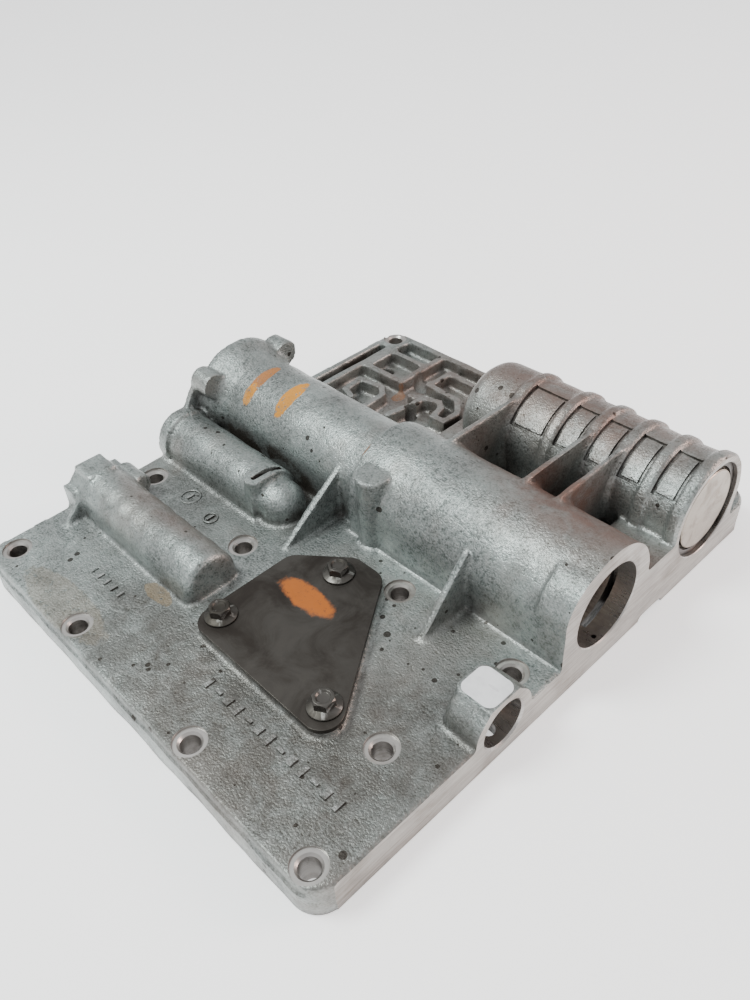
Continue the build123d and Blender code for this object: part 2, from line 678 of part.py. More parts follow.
def gasket_face_channels():
    """The channels of the gasket face, which join the bores when the body is bolted down."""
    runs = [
        ((PORT_DRILL_X, PORT_Y), (70, PORT_Y), (70, -100), (-84.7, -100), (-84.7, SPOOL_D_Y)),
        ((-67.5, SPOOL_D_Y), (-67.5, -57), (12, -57)),
        ((-34.5, SPOOL_D_Y), (-34.5, -84), (50, -84)),
        ((-86.7, SPOOL_E_Y), (-86.7, -2), (-96.5, SERVO_Y)),
        ((-72.7, SPOOL_E_Y), (-72.7, -34), (-10, -30), (21.5, SERVO_Y)),
        ((-49.5, SPOOL_E_Y), (-49.5, 2), (-58, SERVO_Y)),
        ((85, SERVO_Y), (85, -6), (56, -6)),
        ((93, RIBBED_Y), (93, 66), (101.5, 51), (101.5, 26)),
        ((8, RIBBED_Y), (8, 58), (-49, 58), (-49, 77)),
        ((-63, 102.5), (40, 109), (70, 107)),
        ((-89.5, 100.5), (-89.5, 42)),
    ]
    with BuildPart() as part:
        for points in runs:
            add(track(points, CHANNEL_WIDTH, (-1, CHANNEL_DEPTH)))
        add(block((FACE_X - 10, FACE_X + 1), (43.5, 60.0), (-1, 2.4)))
    return part.part


def feed(bore, bore_radius, start, half_width):
    """A slot from the gasket face up into a bore, from a given depth below its mouth."""
    x_range = sorted((bore.x - bore.side * start, bore.x - bore.side * (start + FEED_LENGTH)))
    top = bore.z - bore_radius * 0.6
    return block(x_range, (bore.y - half_width, bore.y + half_width), (-1, top))


def bore_feeds():
    """Pressure slots at the plugs' ends, vents under the springs and ports between the lands."""
    with BuildPart() as part:
        for start in FRONT_FEEDS:
            add(feed(FRONT, FRONT_BORE_RADIUS, start, SERVO_FEED_HALF))
        for start in REAR_FEEDS:
            add(feed(REAR, REAR_BORE_RADIUS, start, SERVO_FEED_HALF))
        for start in RIBBED_FEEDS:
            add(feed(RIBBED, RIBBED_BORE_RADIUS, start, SERVO_FEED_HALF))
        for start in SPOOL_D_FEEDS:
            add(feed(SPOOL_D, SPOOL_D_BORE, start, SPOOL_FEED_HALF))
        for start in SPOOL_E_FEEDS:
            add(feed(SPOOL_E, SPOOL_E_BORE, start, SPOOL_FEED_HALF))
        add(post(12, -57, 3.2, (0, PLATE_THICKNESS)))
    return part.part


# ================================================================ pieces inside the bores
def plug_with_groove(bore, radius, start, end):
    """A turned plug with an O-ring groove at mid-length."""
    r = radius - PLUG_CLEARANCE
    mid = (start + end) / 2
    half = ORING_SECTION * 0.6
    floor = r - ORING_SECTION * 0.85
    return turned(
        bore,
        (
            (start, 0),
            (start, r),
            (mid - half, r),
            (mid - half, floor),
            (mid + half, floor),
            (mid + half, r),
            (end, r),
            (end, 0),
        ),
    )


def plug_o_ring(bore, radius, start, end):
    """The O-ring in a plug's groove, squeezed to the bore."""
    r = radius - PLUG_CLEARANCE
    mid = (start + end) / 2
    half = ORING_SECTION * 0.6 - 0.05
    return ring(bore, r - ORING_SECTION * 0.85 + 0.02, r, mid - half, mid + half)


def snap_ring(bore, radius, depth):
    """A split retaining ring, sprung into its groove."""
    start = depth + RING_GAP
    outer = radius + RING_DEPTH - RING_GAP
    gap_half = 4.0
    with BuildPart() as part:
        add(ring(bore, radius - RING_INNER, outer, start, start + RING_WIDTH))
        x_near = bore.x - bore.side * (start - 1)
        x_far = bore.x - bore.side * (start + RING_WIDTH + 1)
        x_range = (min(x_near, x_far), max(x_near, x_far))
        y_range = (bore.y - gap_half, bore.y + gap_half)
        add(block(x_range, y_range, (bore.z, bore.z + radius + 5)), mode=Mode.SUBTRACT)
    return part.part


def piston(bore, radius, start, length):
    """A cup piston, open towards its spring, with a seal groove near its crown."""
    r = radius - PISTON_CLEARANCE
    groove = (start + SEAL_START, start + SEAL_START + SEAL_WIDTH)
    floor = r - SEAL_DEPTH
    wall = r - PISTON_WALL
    return turned(
        bore,
        (
            (start, 0),
            (start, r - PISTON_CHAMFER),
            (start + PISTON_CHAMFER, r),
            (groove[0], r),
            (groove[0], floor),
            (groove[1], floor),
            (groove[1], r),
            (start + length, r),
            (start + length, wall),
            (start + PISTON_CROWN, wall),
            (start + PISTON_CROWN, 0),
        ),
    )


def piston_seal(bore, radius, start):
    """The seal ring in a piston's groove."""
    inner = radius - PISTON_CLEARANCE - SEAL_DEPTH + 0.1
    outer = radius - SEAL_CLEARANCE
    near = start + SEAL_START
    return ring(bore, inner, outer, near + SEAL_GAP, near + SEAL_WIDTH - SEAL_GAP)


def spool(bore, radius, start, length, lands, stem_radius, tail):
    """A spool valve: lands joined by a stem, with a spring seat at its inner end."""
    r = radius - SPOOL_CLEARANCE
    points = [(start, 0)]
    for near, far in lands:
        first, last = start + near, start + far
        points += [(first, stem_radius), (first, r), (last, r), (last, stem_radius)]
    points[1:2] = []
    points += [(start + length + tail, stem_radius), (start + length + tail, 0)]
    return turned(bore, points)


def spool_plug(bore, radius, start, end):
    """A plain plug with a cross hole for its pin."""
    with BuildPart() as part:
        add(rod(bore, radius - PLUG_CLEARANCE, start, end))
        hole = post(BACK_X + PIN_DEPTH, bore.y, PIN_RADIUS + PIN_CLEARANCE, (0, bore.z + 4))
        add(hole, mode=Mode.SUBTRACT)
    return part.part


def coil_pin(bore):
    """The hollow pin that holds a spool's plug."""
    with BuildPart() as part:
        z_range = (1.0, bore.z + 3.5)
        add(post(BACK_X + PIN_DEPTH, bore.y, PIN_RADIUS, z_range))
        add(post(BACK_X + PIN_DEPTH, bore.y, PIN_RADIUS - PIN_WALL, (0, 60)), mode=Mode.SUBTRACT)
    return part.part


def retainer_plate():
    """The forked plate in the slot, which the second spool's spring pushes against."""
    x_far = BACK_X + SPOOL_E_DEPTH - RETAINER_GAP
    half = RETAINER_HALF - RETAINER_GAP
    with BuildPart() as part:
        add(block((x_far - RETAINER_THICKNESS, x_far), (SPOOL_E_Y - half, SPOOL_E_Y + half), RETAINER_Z))
        notch = STEM_POCKET_RADIUS - 0.6
        add(
            block((x_far - 5, x_far + 5), (SPOOL_E_Y - notch, SPOOL_E_Y + notch), (0, SPOOL_E_Z)),
            mode=Mode.SUBTRACT,
        )
        add(rod(SPOOL_E, notch, SPOOL_E_DEPTH - 6, SPOOL_E_DEPTH + 2), mode=Mode.SUBTRACT)
    return part.part


# ================================================================ pieces
def build_casting():
    bores, pockets = ribbed_hollows()
    with BuildPart() as casting:
        add(plate_blank())
        add(servo_barrels())
        add(front_barrel_bosses())
        add(ribbed_barrel())
        add(spool_d_barrel())
        add(spool_e_barrel())
        add(spool_dome())
        add(port_boss())
        add(fins())
        add(bridge())
        add(gussets())
        add(cover_layer(COVER_PAD_INSET, (PLATE_THICKNESS - 2, COVER_BASE_Z)))
        add(pockets, mode=Mode.SUBTRACT)
        add(bolt_holes(), mode=Mode.SUBTRACT)
        add(worm_tracks(), mode=Mode.SUBTRACT)
        add(servo_hollows(), mode=Mode.SUBTRACT)
        add(bores, mode=Mode.SUBTRACT)
        add(spool_hollows(), mode=Mode.SUBTRACT)
        add(port_hollows(), mode=Mode.SUBTRACT)
        add(cover_pocket(), mode=Mode.SUBTRACT)
        add(gasket_face_channels(), mode=Mode.SUBTRACT)
        add(bore_feeds(), mode=Mode.SUBTRACT)
    save(casting.part, "valve_body_casting")


def build_cover():
    top = COVER_BASE_Z + GASKET_THICKNESS
    with BuildPart() as gasket:
        add(cover_layer(GASKET_INSET, (COVER_BASE_Z, top)))
        window = cover_layer(COVER_POCKET_INSET, (COVER_BASE_Z - 1, top + 1))
        add(window, mode=Mode.SUBTRACT)
        for x, y in cover_bolt_places():
            add(post(x, y, BOLT_RADIUS + 4.5, (COVER_BASE_Z, top)))
        for x, y in cover_bolt_places():
            add(post(x, y, BOLT_RADIUS + BOLT_CLEARANCE, (COVER_BASE_Z - 1, top + 1)), mode=Mode.SUBTRACT)
    save(gasket.part, "cover_gasket")
    with BuildPart() as cover:
        add(cover_layer(0, (top, top + COVER_THICKNESS)))
        for x, y in cover_bolt_places():
            add(post(x, y, BOLT_RADIUS + BOLT_CLEARANCE, (top - 1, top + 9)), mode=Mode.SUBTRACT)
    save(cover.part, "filter_cover_plate")


def build_cover_bolts():
    seat = COVER_BASE_Z + GASKET_THICKNESS + COVER_THICKNESS
    with BuildPart() as bolts:
        for x, y in cover_bolt_places():
            add(post(x, y, BOLT_RADIUS - THREAD_CLEARANCE, (seat - BOLT_LENGTH, seat + 1)))
            with Locations((x, y, seat + BOLT_FLANGE_HEIGHT / 2)):
                Cone(BOLT_FLANGE_RADIUS, BOLT_FLANGE_RADIUS - 0.8, BOLT_FLANGE_HEIGHT)
            with BuildSketch(Plane.XY.offset(seat + BOLT_FLANGE_HEIGHT)):
                with Locations((x, y)):
                    RegularPolygon(BOLT_HEAD_ACROSS / 2, 6, major_radius=False)
            extrude(amount=BOLT_HEAD_HEIGHT - BOLT_FLANGE_HEIGHT)
    save(bolts.part, "cover_flange_bolts")


def build_front_accumulator():
    ring_end = FRONT_RING_DEPTH + RING_WIDTH + 2 * RING_GAP
    plug = (ring_end, ring_end + FRONT_PLUG_LENGTH)
    start = plug[1] + REST_GAP
    save(snap_ring(FRONT, FRONT_BORE_RADIUS, FRONT_RING_DEPTH), "front_snap_ring")
    save(plug_with_groove(FRONT, FRONT_BORE_RADIUS, *plug), "front_bore_plug")
    save(plug_o_ring(FRONT, FRONT_BORE_RADIUS, *plug), "front_plug_o_ring")
    save(piston(FRONT, FRONT_BORE_RADIUS, start, FRONT_PISTON_LENGTH), "front_accumulator_piston")
    save(piston_seal(FRONT, FRONT_BORE_RADIUS, start), "front_piston_seal")
    seat = start + PISTON_CROWN
    save(coil_spring(FRONT, seat, FRONT_BORE_DEPTH, *FRONT_SPRING), "front_accumulator_spring")


def build_rear_accumulator():
    ring_end = REAR_RING_DEPTH + RING_WIDTH + 2 * RING_GAP
    plug = (ring_end, ring_end + REAR_PLUG_LENGTH)
    start = plug[1] + REST_GAP
    save(snap_ring(REAR, REAR_BORE_RADIUS, REAR_RING_DEPTH), "rear_snap_ring")
    save(plug_with_groove(REAR, REAR_BORE_RADIUS, *plug), "rear_bore_plug")
    save(plug_o_ring(REAR, REAR_BORE_RADIUS, *plug), "rear_plug_o_ring")
    save(piston(REAR, REAR_BORE_RADIUS, start, REAR_PISTON_LENGTH), "rear_accumulator_piston")
    save(piston_seal(REAR, REAR_BORE_RADIUS, start), "rear_piston_seal")
    seat = start + PISTON_CROWN
    save(coil_spring(REAR, seat, REAR_BORE_DEPTH, *REAR_SPRING), "rear_accumulator_spring")


def build_ribbed_accumulator():
    flange_start = RIBBED_RING_DEPTH + RING_WIDTH + 2 * RING_GAP
    flange_end = RIBBED_MOUTH_DEPTH
    plug_end = flange_end + RIBBED_PLUG_LENGTH
    start = plug_end + REST_GAP
    r = RIBBED_BORE_RADIUS - PLUG_CLEARANCE
    rim = RIBBED_MOUTH_RADIUS - PLUG_CLEARANCE
    face_radius = RIBBED_MOUTH_RADIUS - RING_INNER - 0.6
    mid = (flange_end + plug_end) / 2
    half = ORING_SECTION * 0.6
    floor = r - ORING_SECTION * 0.85
    plug = turned(
        RIBBED,
        (
            (RIBBED_PLUG_FACE, 0),
            (RIBBED_PLUG_FACE, face_radius),
            (flange_start, face_radius),
            (flange_start, rim),
            (flange_end, rim),
            (flange_end, r),
            (mid - half, r),
            (mid - half, floor),
            (mid + half, floor),
            (mid + half, r),
            (plug_end, r),
            (plug_end, 0),
        ),
    )
    save(plug, "ribbed_bore_plug")
    save(snap_ring(RIBBED, RIBBED_MOUTH_RADIUS, RIBBED_RING_DEPTH), "ribbed_snap_ring")
    save(plug_o_ring(RIBBED, RIBBED_BORE_RADIUS, flange_end, plug_end), "ribbed_plug_o_ring")
    save(piston(RIBBED, RIBBED_BORE_RADIUS, start, RIBBED_PISTON_LENGTH), "ribbed_accumulator_piston")
    save(piston_seal(RIBBED, RIBBED_BORE_RADIUS, start), "ribbed_piston_seal")
    seat = start + PISTON_CROWN
    save(coil_spring(RIBBED, seat, RIBBED_BORE_DEPTH, *RIBBED_OUTER_SPRING), "ribbed_outer_spring")
    save(coil_spring(RIBBED, seat, RIBBED_BORE_DEPTH, *RIBBED_INNER_SPRING), "ribbed_inner_spring")


def build_spool_d():
    plug = (SPOOL_PLUG_START, SPOOL_PLUG_START + SPOOL_PLUG_LENGTH)
    start = plug[1] + REST_GAP
    save(spool_plug(SPOOL_D, SPOOL_D_BORE, *plug), "regulator_plug")
    save(coil_pin(SPOOL_D), "regulator_plug_pin")
    sizes = (start, SPOOL_D_VALVE, SPOOL_D_LANDS, SPOOL_D_STEM, SPOOL_D_TAIL)
    save(spool(SPOOL_D, SPOOL_D_BORE, *sizes), "regulator_spool")
    seat = start + SPOOL_D_VALVE
    save(coil_spring(SPOOL_D, seat, SPOOL_D_DEPTH, *SPOOL_D_SPRING), "regulator_spring")


def build_spool_e():
    plug = (SPOOL_PLUG_START, SPOOL_PLUG_START + SPOOL_PLUG_LENGTH)
    start = plug[1] + REST_GAP
    stop = SPOOL_E_DEPTH - RETAINER_THICKNESS - RETAINER_GAP
    seat = start + SPOOL_E_VALVE
    tail = stop - seat - STEM_STOP_GAP
    save(spool_plug(SPOOL_E, SPOOL_E_BORE, *plug), "shift_valve_plug")
    save(coil_pin(SPOOL_E), "shift_valve_plug_pin")
    sizes = (start, SPOOL_E_VALVE, SPOOL_E_LANDS, SPOOL_E_STEM, tail)
    save(spool(SPOOL_E, SPOOL_E_BORE, *sizes), "shift_valve_spool")
    save(coil_spring(SPOOL_E, seat, stop, *SPOOL_E_SPRING), "shift_valve_spring")
    save(retainer_plate(), "shift_spring_retainer")


def build_label():
    """The small paper label on the port boss's flat."""
    with BuildPart() as label:
        with BuildSketch(Plane.XY.offset(PORT_FLAT_Z)):
            with Locations((FACE_X - 8.2, PORT_Y)):
                RectangleRounded(15.0, 14.2, 3.5)
        extrude(amount=0.25)
    save(label.part, "inspection_label")


if __name__ == "__main__":
    build_casting()
    build_cover()
    build_cover_bolts()
    build_front_accumulator()
    build_rear_accumulator()
    build_ribbed_accumulator()
    build_spool_d()
    build_spool_e()
    build_label()
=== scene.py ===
"""Looks of a cast hydraulic control body with plugged bores, valves and a bolted cover.

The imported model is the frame, so every place below is in its axes: +Z up from the gasket face,
+X out of the machined face and +Y towards the ribbed barrel. Everything is in metres.
"""

import logging
import math
from dataclasses import dataclass
from enum import Enum
from typing import Iterable, Sequence
import bpy
from mathutils import Matrix, Vector, noise


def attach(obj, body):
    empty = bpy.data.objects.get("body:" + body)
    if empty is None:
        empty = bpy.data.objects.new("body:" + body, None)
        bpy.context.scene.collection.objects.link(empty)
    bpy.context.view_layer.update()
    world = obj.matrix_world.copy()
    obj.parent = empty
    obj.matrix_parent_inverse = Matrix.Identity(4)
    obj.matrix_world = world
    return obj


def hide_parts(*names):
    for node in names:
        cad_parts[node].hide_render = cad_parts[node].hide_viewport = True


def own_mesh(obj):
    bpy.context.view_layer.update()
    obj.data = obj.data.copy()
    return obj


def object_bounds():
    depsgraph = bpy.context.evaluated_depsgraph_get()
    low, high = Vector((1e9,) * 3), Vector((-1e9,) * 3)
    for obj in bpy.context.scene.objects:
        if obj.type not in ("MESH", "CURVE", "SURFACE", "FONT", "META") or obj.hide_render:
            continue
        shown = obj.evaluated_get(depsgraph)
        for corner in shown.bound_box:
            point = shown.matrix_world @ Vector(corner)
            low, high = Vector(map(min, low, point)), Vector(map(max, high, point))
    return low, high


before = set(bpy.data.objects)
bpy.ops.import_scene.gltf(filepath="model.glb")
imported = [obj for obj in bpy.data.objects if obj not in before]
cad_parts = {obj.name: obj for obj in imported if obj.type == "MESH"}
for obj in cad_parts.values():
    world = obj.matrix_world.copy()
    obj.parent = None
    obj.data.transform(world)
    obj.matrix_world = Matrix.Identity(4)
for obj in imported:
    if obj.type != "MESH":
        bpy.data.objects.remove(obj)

CAD_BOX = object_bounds()
MM = 0.001
TAU = 2 * math.pi
LOG = logging.getLogger("control_body")

Colour = tuple[float, float, float]
Point = tuple[float, float, float]


# ================================================================ names and small facts
class Body(str, Enum):
    """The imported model's rigid bodies that new pieces ride on."""

    CASTING = "control_body"


class Solver(str, Enum):
    """Boolean solvers."""

    MANIFOLD = "MANIFOLD"
    EXACT = "EXACT"


@dataclass(frozen=True)
class Bore:
    """A bore's mouth and axis.

    Attributes:
        x: place of its mouth.
        side: +1 where it opens along +X, -1 along -X.
        y: place of its axis.
        z: height of its axis.
    """

    x: float
    side: int
    y: float
    z: float

    def at(self, depth: float) -> float:
        """X at a depth below the mouth."""
        return self.x - self.side * depth

    def centre(self, depth: float) -> Vector:
        """Point on the axis at a depth below the mouth."""
        return Vector((self.at(depth), self.y, self.z))


FACE_X = CAD_BOX[1].x
BACK_X = CAD_BOX[0].x
PLATE_TOP = 15.5 * MM
FRONT = Bore(FACE_X, 1, 17.8 * MM, 29.7 * MM)
REAR = Bore(BACK_X, -1, 17.8 * MM, 29.7 * MM)
RIBBED = Bore(FACE_X, 1, 86.6 * MM, 31.6 * MM)
REGULATOR = Bore(BACK_X, -1, -70.8 * MM, 21.0 * MM)
SHIFT = Bore(BACK_X, -1, -20.0 * MM, 21.5 * MM)
PORT = Bore(FACE_X, 1, -40.0 * MM, 15.8 * MM)


# ================================================================ mesh tools
def nothing_selected() -> None:
    """Leave edit mode and deselect every object."""
    if bpy.context.object and bpy.context.object.mode != "OBJECT":
        bpy.ops.object.mode_set(mode="OBJECT")
    bpy.ops.object.select_all(action="DESELECT")


def take(obj: bpy.types.Object) -> bpy.types.Object:
    """Make an object the only selected and active one."""
    nothing_selected()
    obj.select_set(True)
    bpy.context.view_layer.objects.active = obj
    return obj


def named(name: str) -> bpy.types.Object:
    """Name the object that an operator has just added."""
    obj = bpy.context.object
    obj.name = name
    obj.data.name = name
    return obj


def settle(obj: bpy.types.Object) -> bpy.types.Object:
    """Put an object's place, turn and scale into its mesh."""
    take(obj)
    bpy.ops.object.transform_apply(location=True, rotation=True, scale=True)
    return obj


def mend(obj: bpy.types.Object, distance: float = 0.001 * MM, turn_out: bool = True) -> bpy.types.Object:
    """Merge doubled points and turn faces outwards.

    Args:
        obj: the mesh to mend.
        distance: points nearer than this are merged.
        turn_out: whether normals are recalculated.

    Returns:
        The same object.
    """
    take(obj)
    bpy.ops.object.mode_set(mode="EDIT")
    bpy.ops.mesh.select_all(action="SELECT")
    bpy.ops.mesh.remove_doubles(threshold=distance)
    if turn_out:
        bpy.ops.mesh.normals_make_consistent(inside=False)
    bpy.ops.object.mode_set(mode="OBJECT")
    return obj


def finish_with(obj: bpy.types.Object, kind: str, **settings: object) -> bpy.types.Object:
    """Add one modifier and apply it.

    Args:
        obj: the mesh.
        kind: the modifier's type.
        **settings: values of the modifier.

    Returns:
        The same object.
    """
    take(obj)
    modifier = obj.modifiers.new(kind.lower(), kind)
    for key, value in settings.items():
        setattr(modifier, key, value)
    bpy.ops.object.modifier_apply(modifier=modifier.name)
    return obj


def rounded(
    obj: bpy.types.Object, width: float, segments: int = 2, angle: float = 35.0
) -> bpy.types.Object:
    """Round a mesh's sharp edges and shade it smooth.

    Args:
        obj: the mesh.
        width: size of the rounding.
        segments: facets across it.
        angle: edges sharper than this, in degrees, are rounded.

    Returns:
        The same object.
    """
    finish_with(
        obj,
        "BEVEL",
        width=width,
        segments=segments,
        limit_method="ANGLE",
        angle_limit=math.radians(angle),
        use_clamp_overlap=True,
    )
    take(obj)
    bpy.ops.object.shade_smooth_by_angle(angle=math.radians(40))
    return obj


def boolean(
    obj: bpy.types.Object,
    tool: bpy.types.Object,
    operation: str = "DIFFERENCE",
    solver: Solver = Solver.MANIFOLD,
) -> bpy.types.Object:
    """Cut or join with another mesh, which is then deleted; new faces keep the tool's material.

    Args:
        obj: the mesh that stays.
        tool: the mesh that cuts it or is added to it.
        operation: the modifier's operation.
        solver: how it is worked out.

    Returns:
        The mesh that stays.
    """
    settings = {"object": tool, "operation": operation, "solver": solver.value}
    finish_with(obj, "BOOLEAN", material_mode="TRANSFER", **settings)
    discard(tool)
    return obj


def discard(obj: bpy.types.Object) -> None:
    """Delete an object that only helped to make another."""
    nothing_selected()
    mesh = obj.data
    bpy.data.objects.remove(obj)
    if mesh.users == 0:
        bpy.data.meshes.remove(mesh)


def together(objects: Sequence[bpy.types.Object], name: str) -> bpy.types.Object:
    """Join several objects into the first."""
    take(objects[0])
    for obj in objects[1:]:
        obj.select_set(True)
    bpy.ops.object.join()
    return named(name)


def duplicate(obj: bpy.types.Object, name: str, shift: Vector) -> bpy.types.Object:
    """Copy a finished mesh to another place, with its own mesh data."""
    copy = obj.copy()
    copy.data = obj.data.copy()
    copy.name = name
    copy.data.name = name
    bpy.context.collection.objects.link(copy)
    copy.data.transform(Matrix.Translation(shift))
    return copy


def paint(obj: bpy.types.Object, material: bpy.types.Material) -> bpy.types.Object:
    """Give a whole mesh one material."""
    obj.data.materials.clear()
    obj.data.materials.append(material)
    return obj


def post(x: float, y: float, radius: float, low: float, high: float, sides: int = 48) -> bpy.types.Object:
    """Add an upright cylinder."""
    nothing_selected()
    bpy.ops.mesh.primitive_cylinder_add(
        vertices=sides,
        radius=radius,
        depth=high - low,
        location=(x, y, (low + high) / 2),
    )
    return settle(named("post"))


def bar(bore: Bore, radius: float, start: float, end: float, sides: int = 96) -> bpy.types.Object:
    """Add a cylinder on a bore's axis, between two depths below its mouth."""
    nothing_selected()
    bpy.ops.mesh.primitive_cylinder_add(
        vertices=sides,
        radius=radius,
        depth=abs(end - start),
        location=bore.centre((start + end) / 2),
        rotation=(0, math.pi / 2, 0),
    )
    return settle(named("bar"))


def slab(low: Point, high: Point) -> bpy.types.Object:
    """Add a box between two corners."""
    nothing_selected()
    bpy.ops.mesh.primitive_cube_add(size=1, location=[(a + b) / 2 for a, b in zip(low, high)])
    obj = named("slab")
    obj.scale = [b - a for a, b in zip(low, high)]
    return settle(obj)


def turned(
    name: str,
    bore: Bore,
    profile: Sequence[tuple[float, float]],
    sides: int = 96,
) -> bpy.types.Object:
    """Turn a profile about a bore's axis, as on a lathe.

    Args:
        name: the new object's name.
        bore: whose axis is used.
        profile: (depth, radius) points in order, starting and ending on the axis or closed.
        sides: steps round the axis.

    Returns:
        A closed mesh with its faces outwards.
    """
    nothing_selected()
    depth, radius = profile[0]
    bpy.ops.mesh.primitive_plane_add(size=MM, location=bore.centre(depth) + Vector((0, 0, radius)))
    obj = settle(named(name))
    bpy.ops.object.mode_set(mode="EDIT")
    bpy.ops.mesh.select_all(action="SELECT")
    bpy.ops.mesh.merge(type="CENTER")
    for (d0, r0), (d1, r1) in zip(profile, profile[1:]):
        step = (bore.at(d1) - bore.at(d0), 0, r1 - r0)
        bpy.ops.mesh.extrude_region_move(TRANSFORM_OT_translate={"value": step})
    bpy.ops.mesh.select_all(action="SELECT")
    bpy.ops.mesh.spin(steps=sides, angle=TAU, center=bore.centre(0), axis=(1, 0, 0))
    bpy.ops.mesh.select_all(action="SELECT")
    bpy.ops.mesh.remove_doubles(threshold=0.002 * MM)
    bpy.ops.mesh.normals_make_consistent(inside=False)
    bpy.ops.object.mode_set(mode="OBJECT")
    return obj


def place(obj: bpy.types.Object, body: Body, slot: str, *nodes: str) -> bpy.types.Object:
    """Hang a finished piece on its body and hide the CAD nodes that it replaces.

    Args:
        obj: the piece.
        body: the rigid body it moves with.
        slot: the material slot's name; not used.
        *nodes: CAD nodes that it replaces.

    Returns:
        The piece.
    """
    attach(obj, body.value)
    if nodes:
        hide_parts(*nodes)
    LOG.info("%s: %d faces on %s", obj.name, len(obj.data.polygons), body.value)
    return obj


# ================================================================ node helpers
class NodeSheet:
    """Short calls for wiring a node tree."""

    def __init__(self, tree: bpy.types.NodeTree) -> None:
        """Work on one node tree."""
        self.tree = tree

    def add(self, kind: str, inputs: dict | None = None, **settings: object) -> bpy.types.Node:
        """Add a node.

        Args:
            kind: the node's type.
            inputs: values or output sockets for its inputs, by name or index.
            **settings: the node's own properties.

        Returns:
            The new node.
        """
        node = self.tree.nodes.new(kind)
        for key, value in settings.items():
            setattr(node, key, value)
        for key, value in (inputs or {}).items():
            self.feed(node.inputs[key], value)
        return node

    def feed(self, socket: bpy.types.NodeSocket, value: object) -> None:
        """Set an input to a constant or link it."""
        if isinstance(value, bpy.types.NodeSocket):
            self.tree.links.new(value, socket)
        elif isinstance(value, tuple) and len(value) == 3 and socket.type == "RGBA":
            socket.default_value = (*value, 1.0)
        else:
            socket.default_value = value

    def maths(
        self, operation: str, a: object, b: object = 0.0, clamp: bool = False
    ) -> bpy.types.NodeSocket:
        """Add a Math node and return its value."""
        return self.add("ShaderNodeMath", {0: a, 1: b}, operation=operation, use_clamp=clamp).outputs[0]

    def blend(self, factor: object, a: object, b: object, mode: str = "MIX") -> bpy.types.NodeSocket:
        """Mix two colours and return the result."""
        node = self.add("ShaderNodeMix", data_type="RGBA", blend_type=mode)
        self.feed(node.inputs[0], factor)
        self.feed(node.inputs[6], a)
        self.feed(node.inputs[7], b)
        return node.outputs[2]

    def ramp(
        self, value: object, low: float, high: float, start: float = 0.0, end: float = 1.0
    ) -> bpy.types.NodeSocket:
        """Map a value from one range to another, smoothly and clamped."""
        node = self.add("ShaderNodeMapRange", {0: value, 1: low, 2: high, 3: start, 4: end})
        node.interpolation_type = "SMOOTHSTEP"
        return node.outputs[0]

    def clouds(
        self,
        place_vector: object,
        scale: float,
        detail: float = 3.0,
        rough: float = 0.55,
        distortion: float = 0.0,
    ) -> bpy.types.NodeSocket:
        """Add a noise texture and return its value."""
        inputs = {"Vector": place_vector, "Scale": scale, "Detail": detail}
        inputs |= {"Roughness": rough, "Distortion": distortion}
        return self.add("ShaderNodeTexNoise", inputs).outputs[0]

    def where(self) -> bpy.types.NodeSocket:
        """Object coordinates."""
        return self.add("ShaderNodeTexCoord").outputs["Object"]

    def vector(self, operation: str, a: object, b: object) -> bpy.types.Node:
        """Add a Vector Math node."""
        return self.add("ShaderNodeVectorMath", {0: a, 1: b}, operation=operation)

    def spot(
        self,
        centre: Point,
        radii: Point,
        ragged: float = 0.25,
        scale: float = 260.0,
        soft: float = 0.06,
    ) -> bpy.types.NodeSocket:
        """Mask of a ragged ellipsoid.

        Args:
            centre: its middle.
            radii: its half sizes.
            ragged: how uneven its edge is.
            scale: how fine the unevenness is.
            soft: half width of its fading edge.

        Returns:
            A value of 1 inside and 0 outside.
        """
        position = self.where()
        offset = self.vector("SUBTRACT", position, centre).outputs[0]
        shaped = self.vector("DIVIDE", offset, radii).outputs[0]
        distance = self.add("ShaderNodeVectorMath", {0: shaped}, operation="LENGTH").outputs["Value"]
        waver = self.maths("MULTIPLY_ADD", self.clouds(position, scale, 4.0, 0.7), 2 * ragged)
        self.feed(waver.node.inputs[2], -ragged)
        return self.ramp(self.maths("ADD", distance, waver), 1.0 + soft, 1.0 - soft)


def socket_group(
    name: str,
    inputs: Iterable[tuple[str, str, float]],
    outputs: Iterable[tuple[str, str]],
) -> tuple[bpy.types.NodeTree, NodeSheet, bpy.types.Node, bpy.types.Node]:
    """Start a shader node group.

    Args:
        name: the group's name.
        inputs: name, socket type and default of each input.
        outputs: name and socket type of each output.

    Returns:
        The tree, its sheet, its input node and its output node.
    """
    tree = bpy.data.node_groups.new(name, "ShaderNodeTree")
    for label, kind, value in inputs:
        socket = tree.interface.new_socket(name=label, in_out="INPUT", socket_type=kind)
        socket.default_value = value
    for label, kind in outputs:
        tree.interface.new_socket(name=label, in_out="OUTPUT", socket_type=kind)
    sheet = NodeSheet(tree)
    return tree, sheet, sheet.add("NodeGroupInput"), sheet.add("NodeGroupOutput")


FLOAT = "NodeSocketFloat"


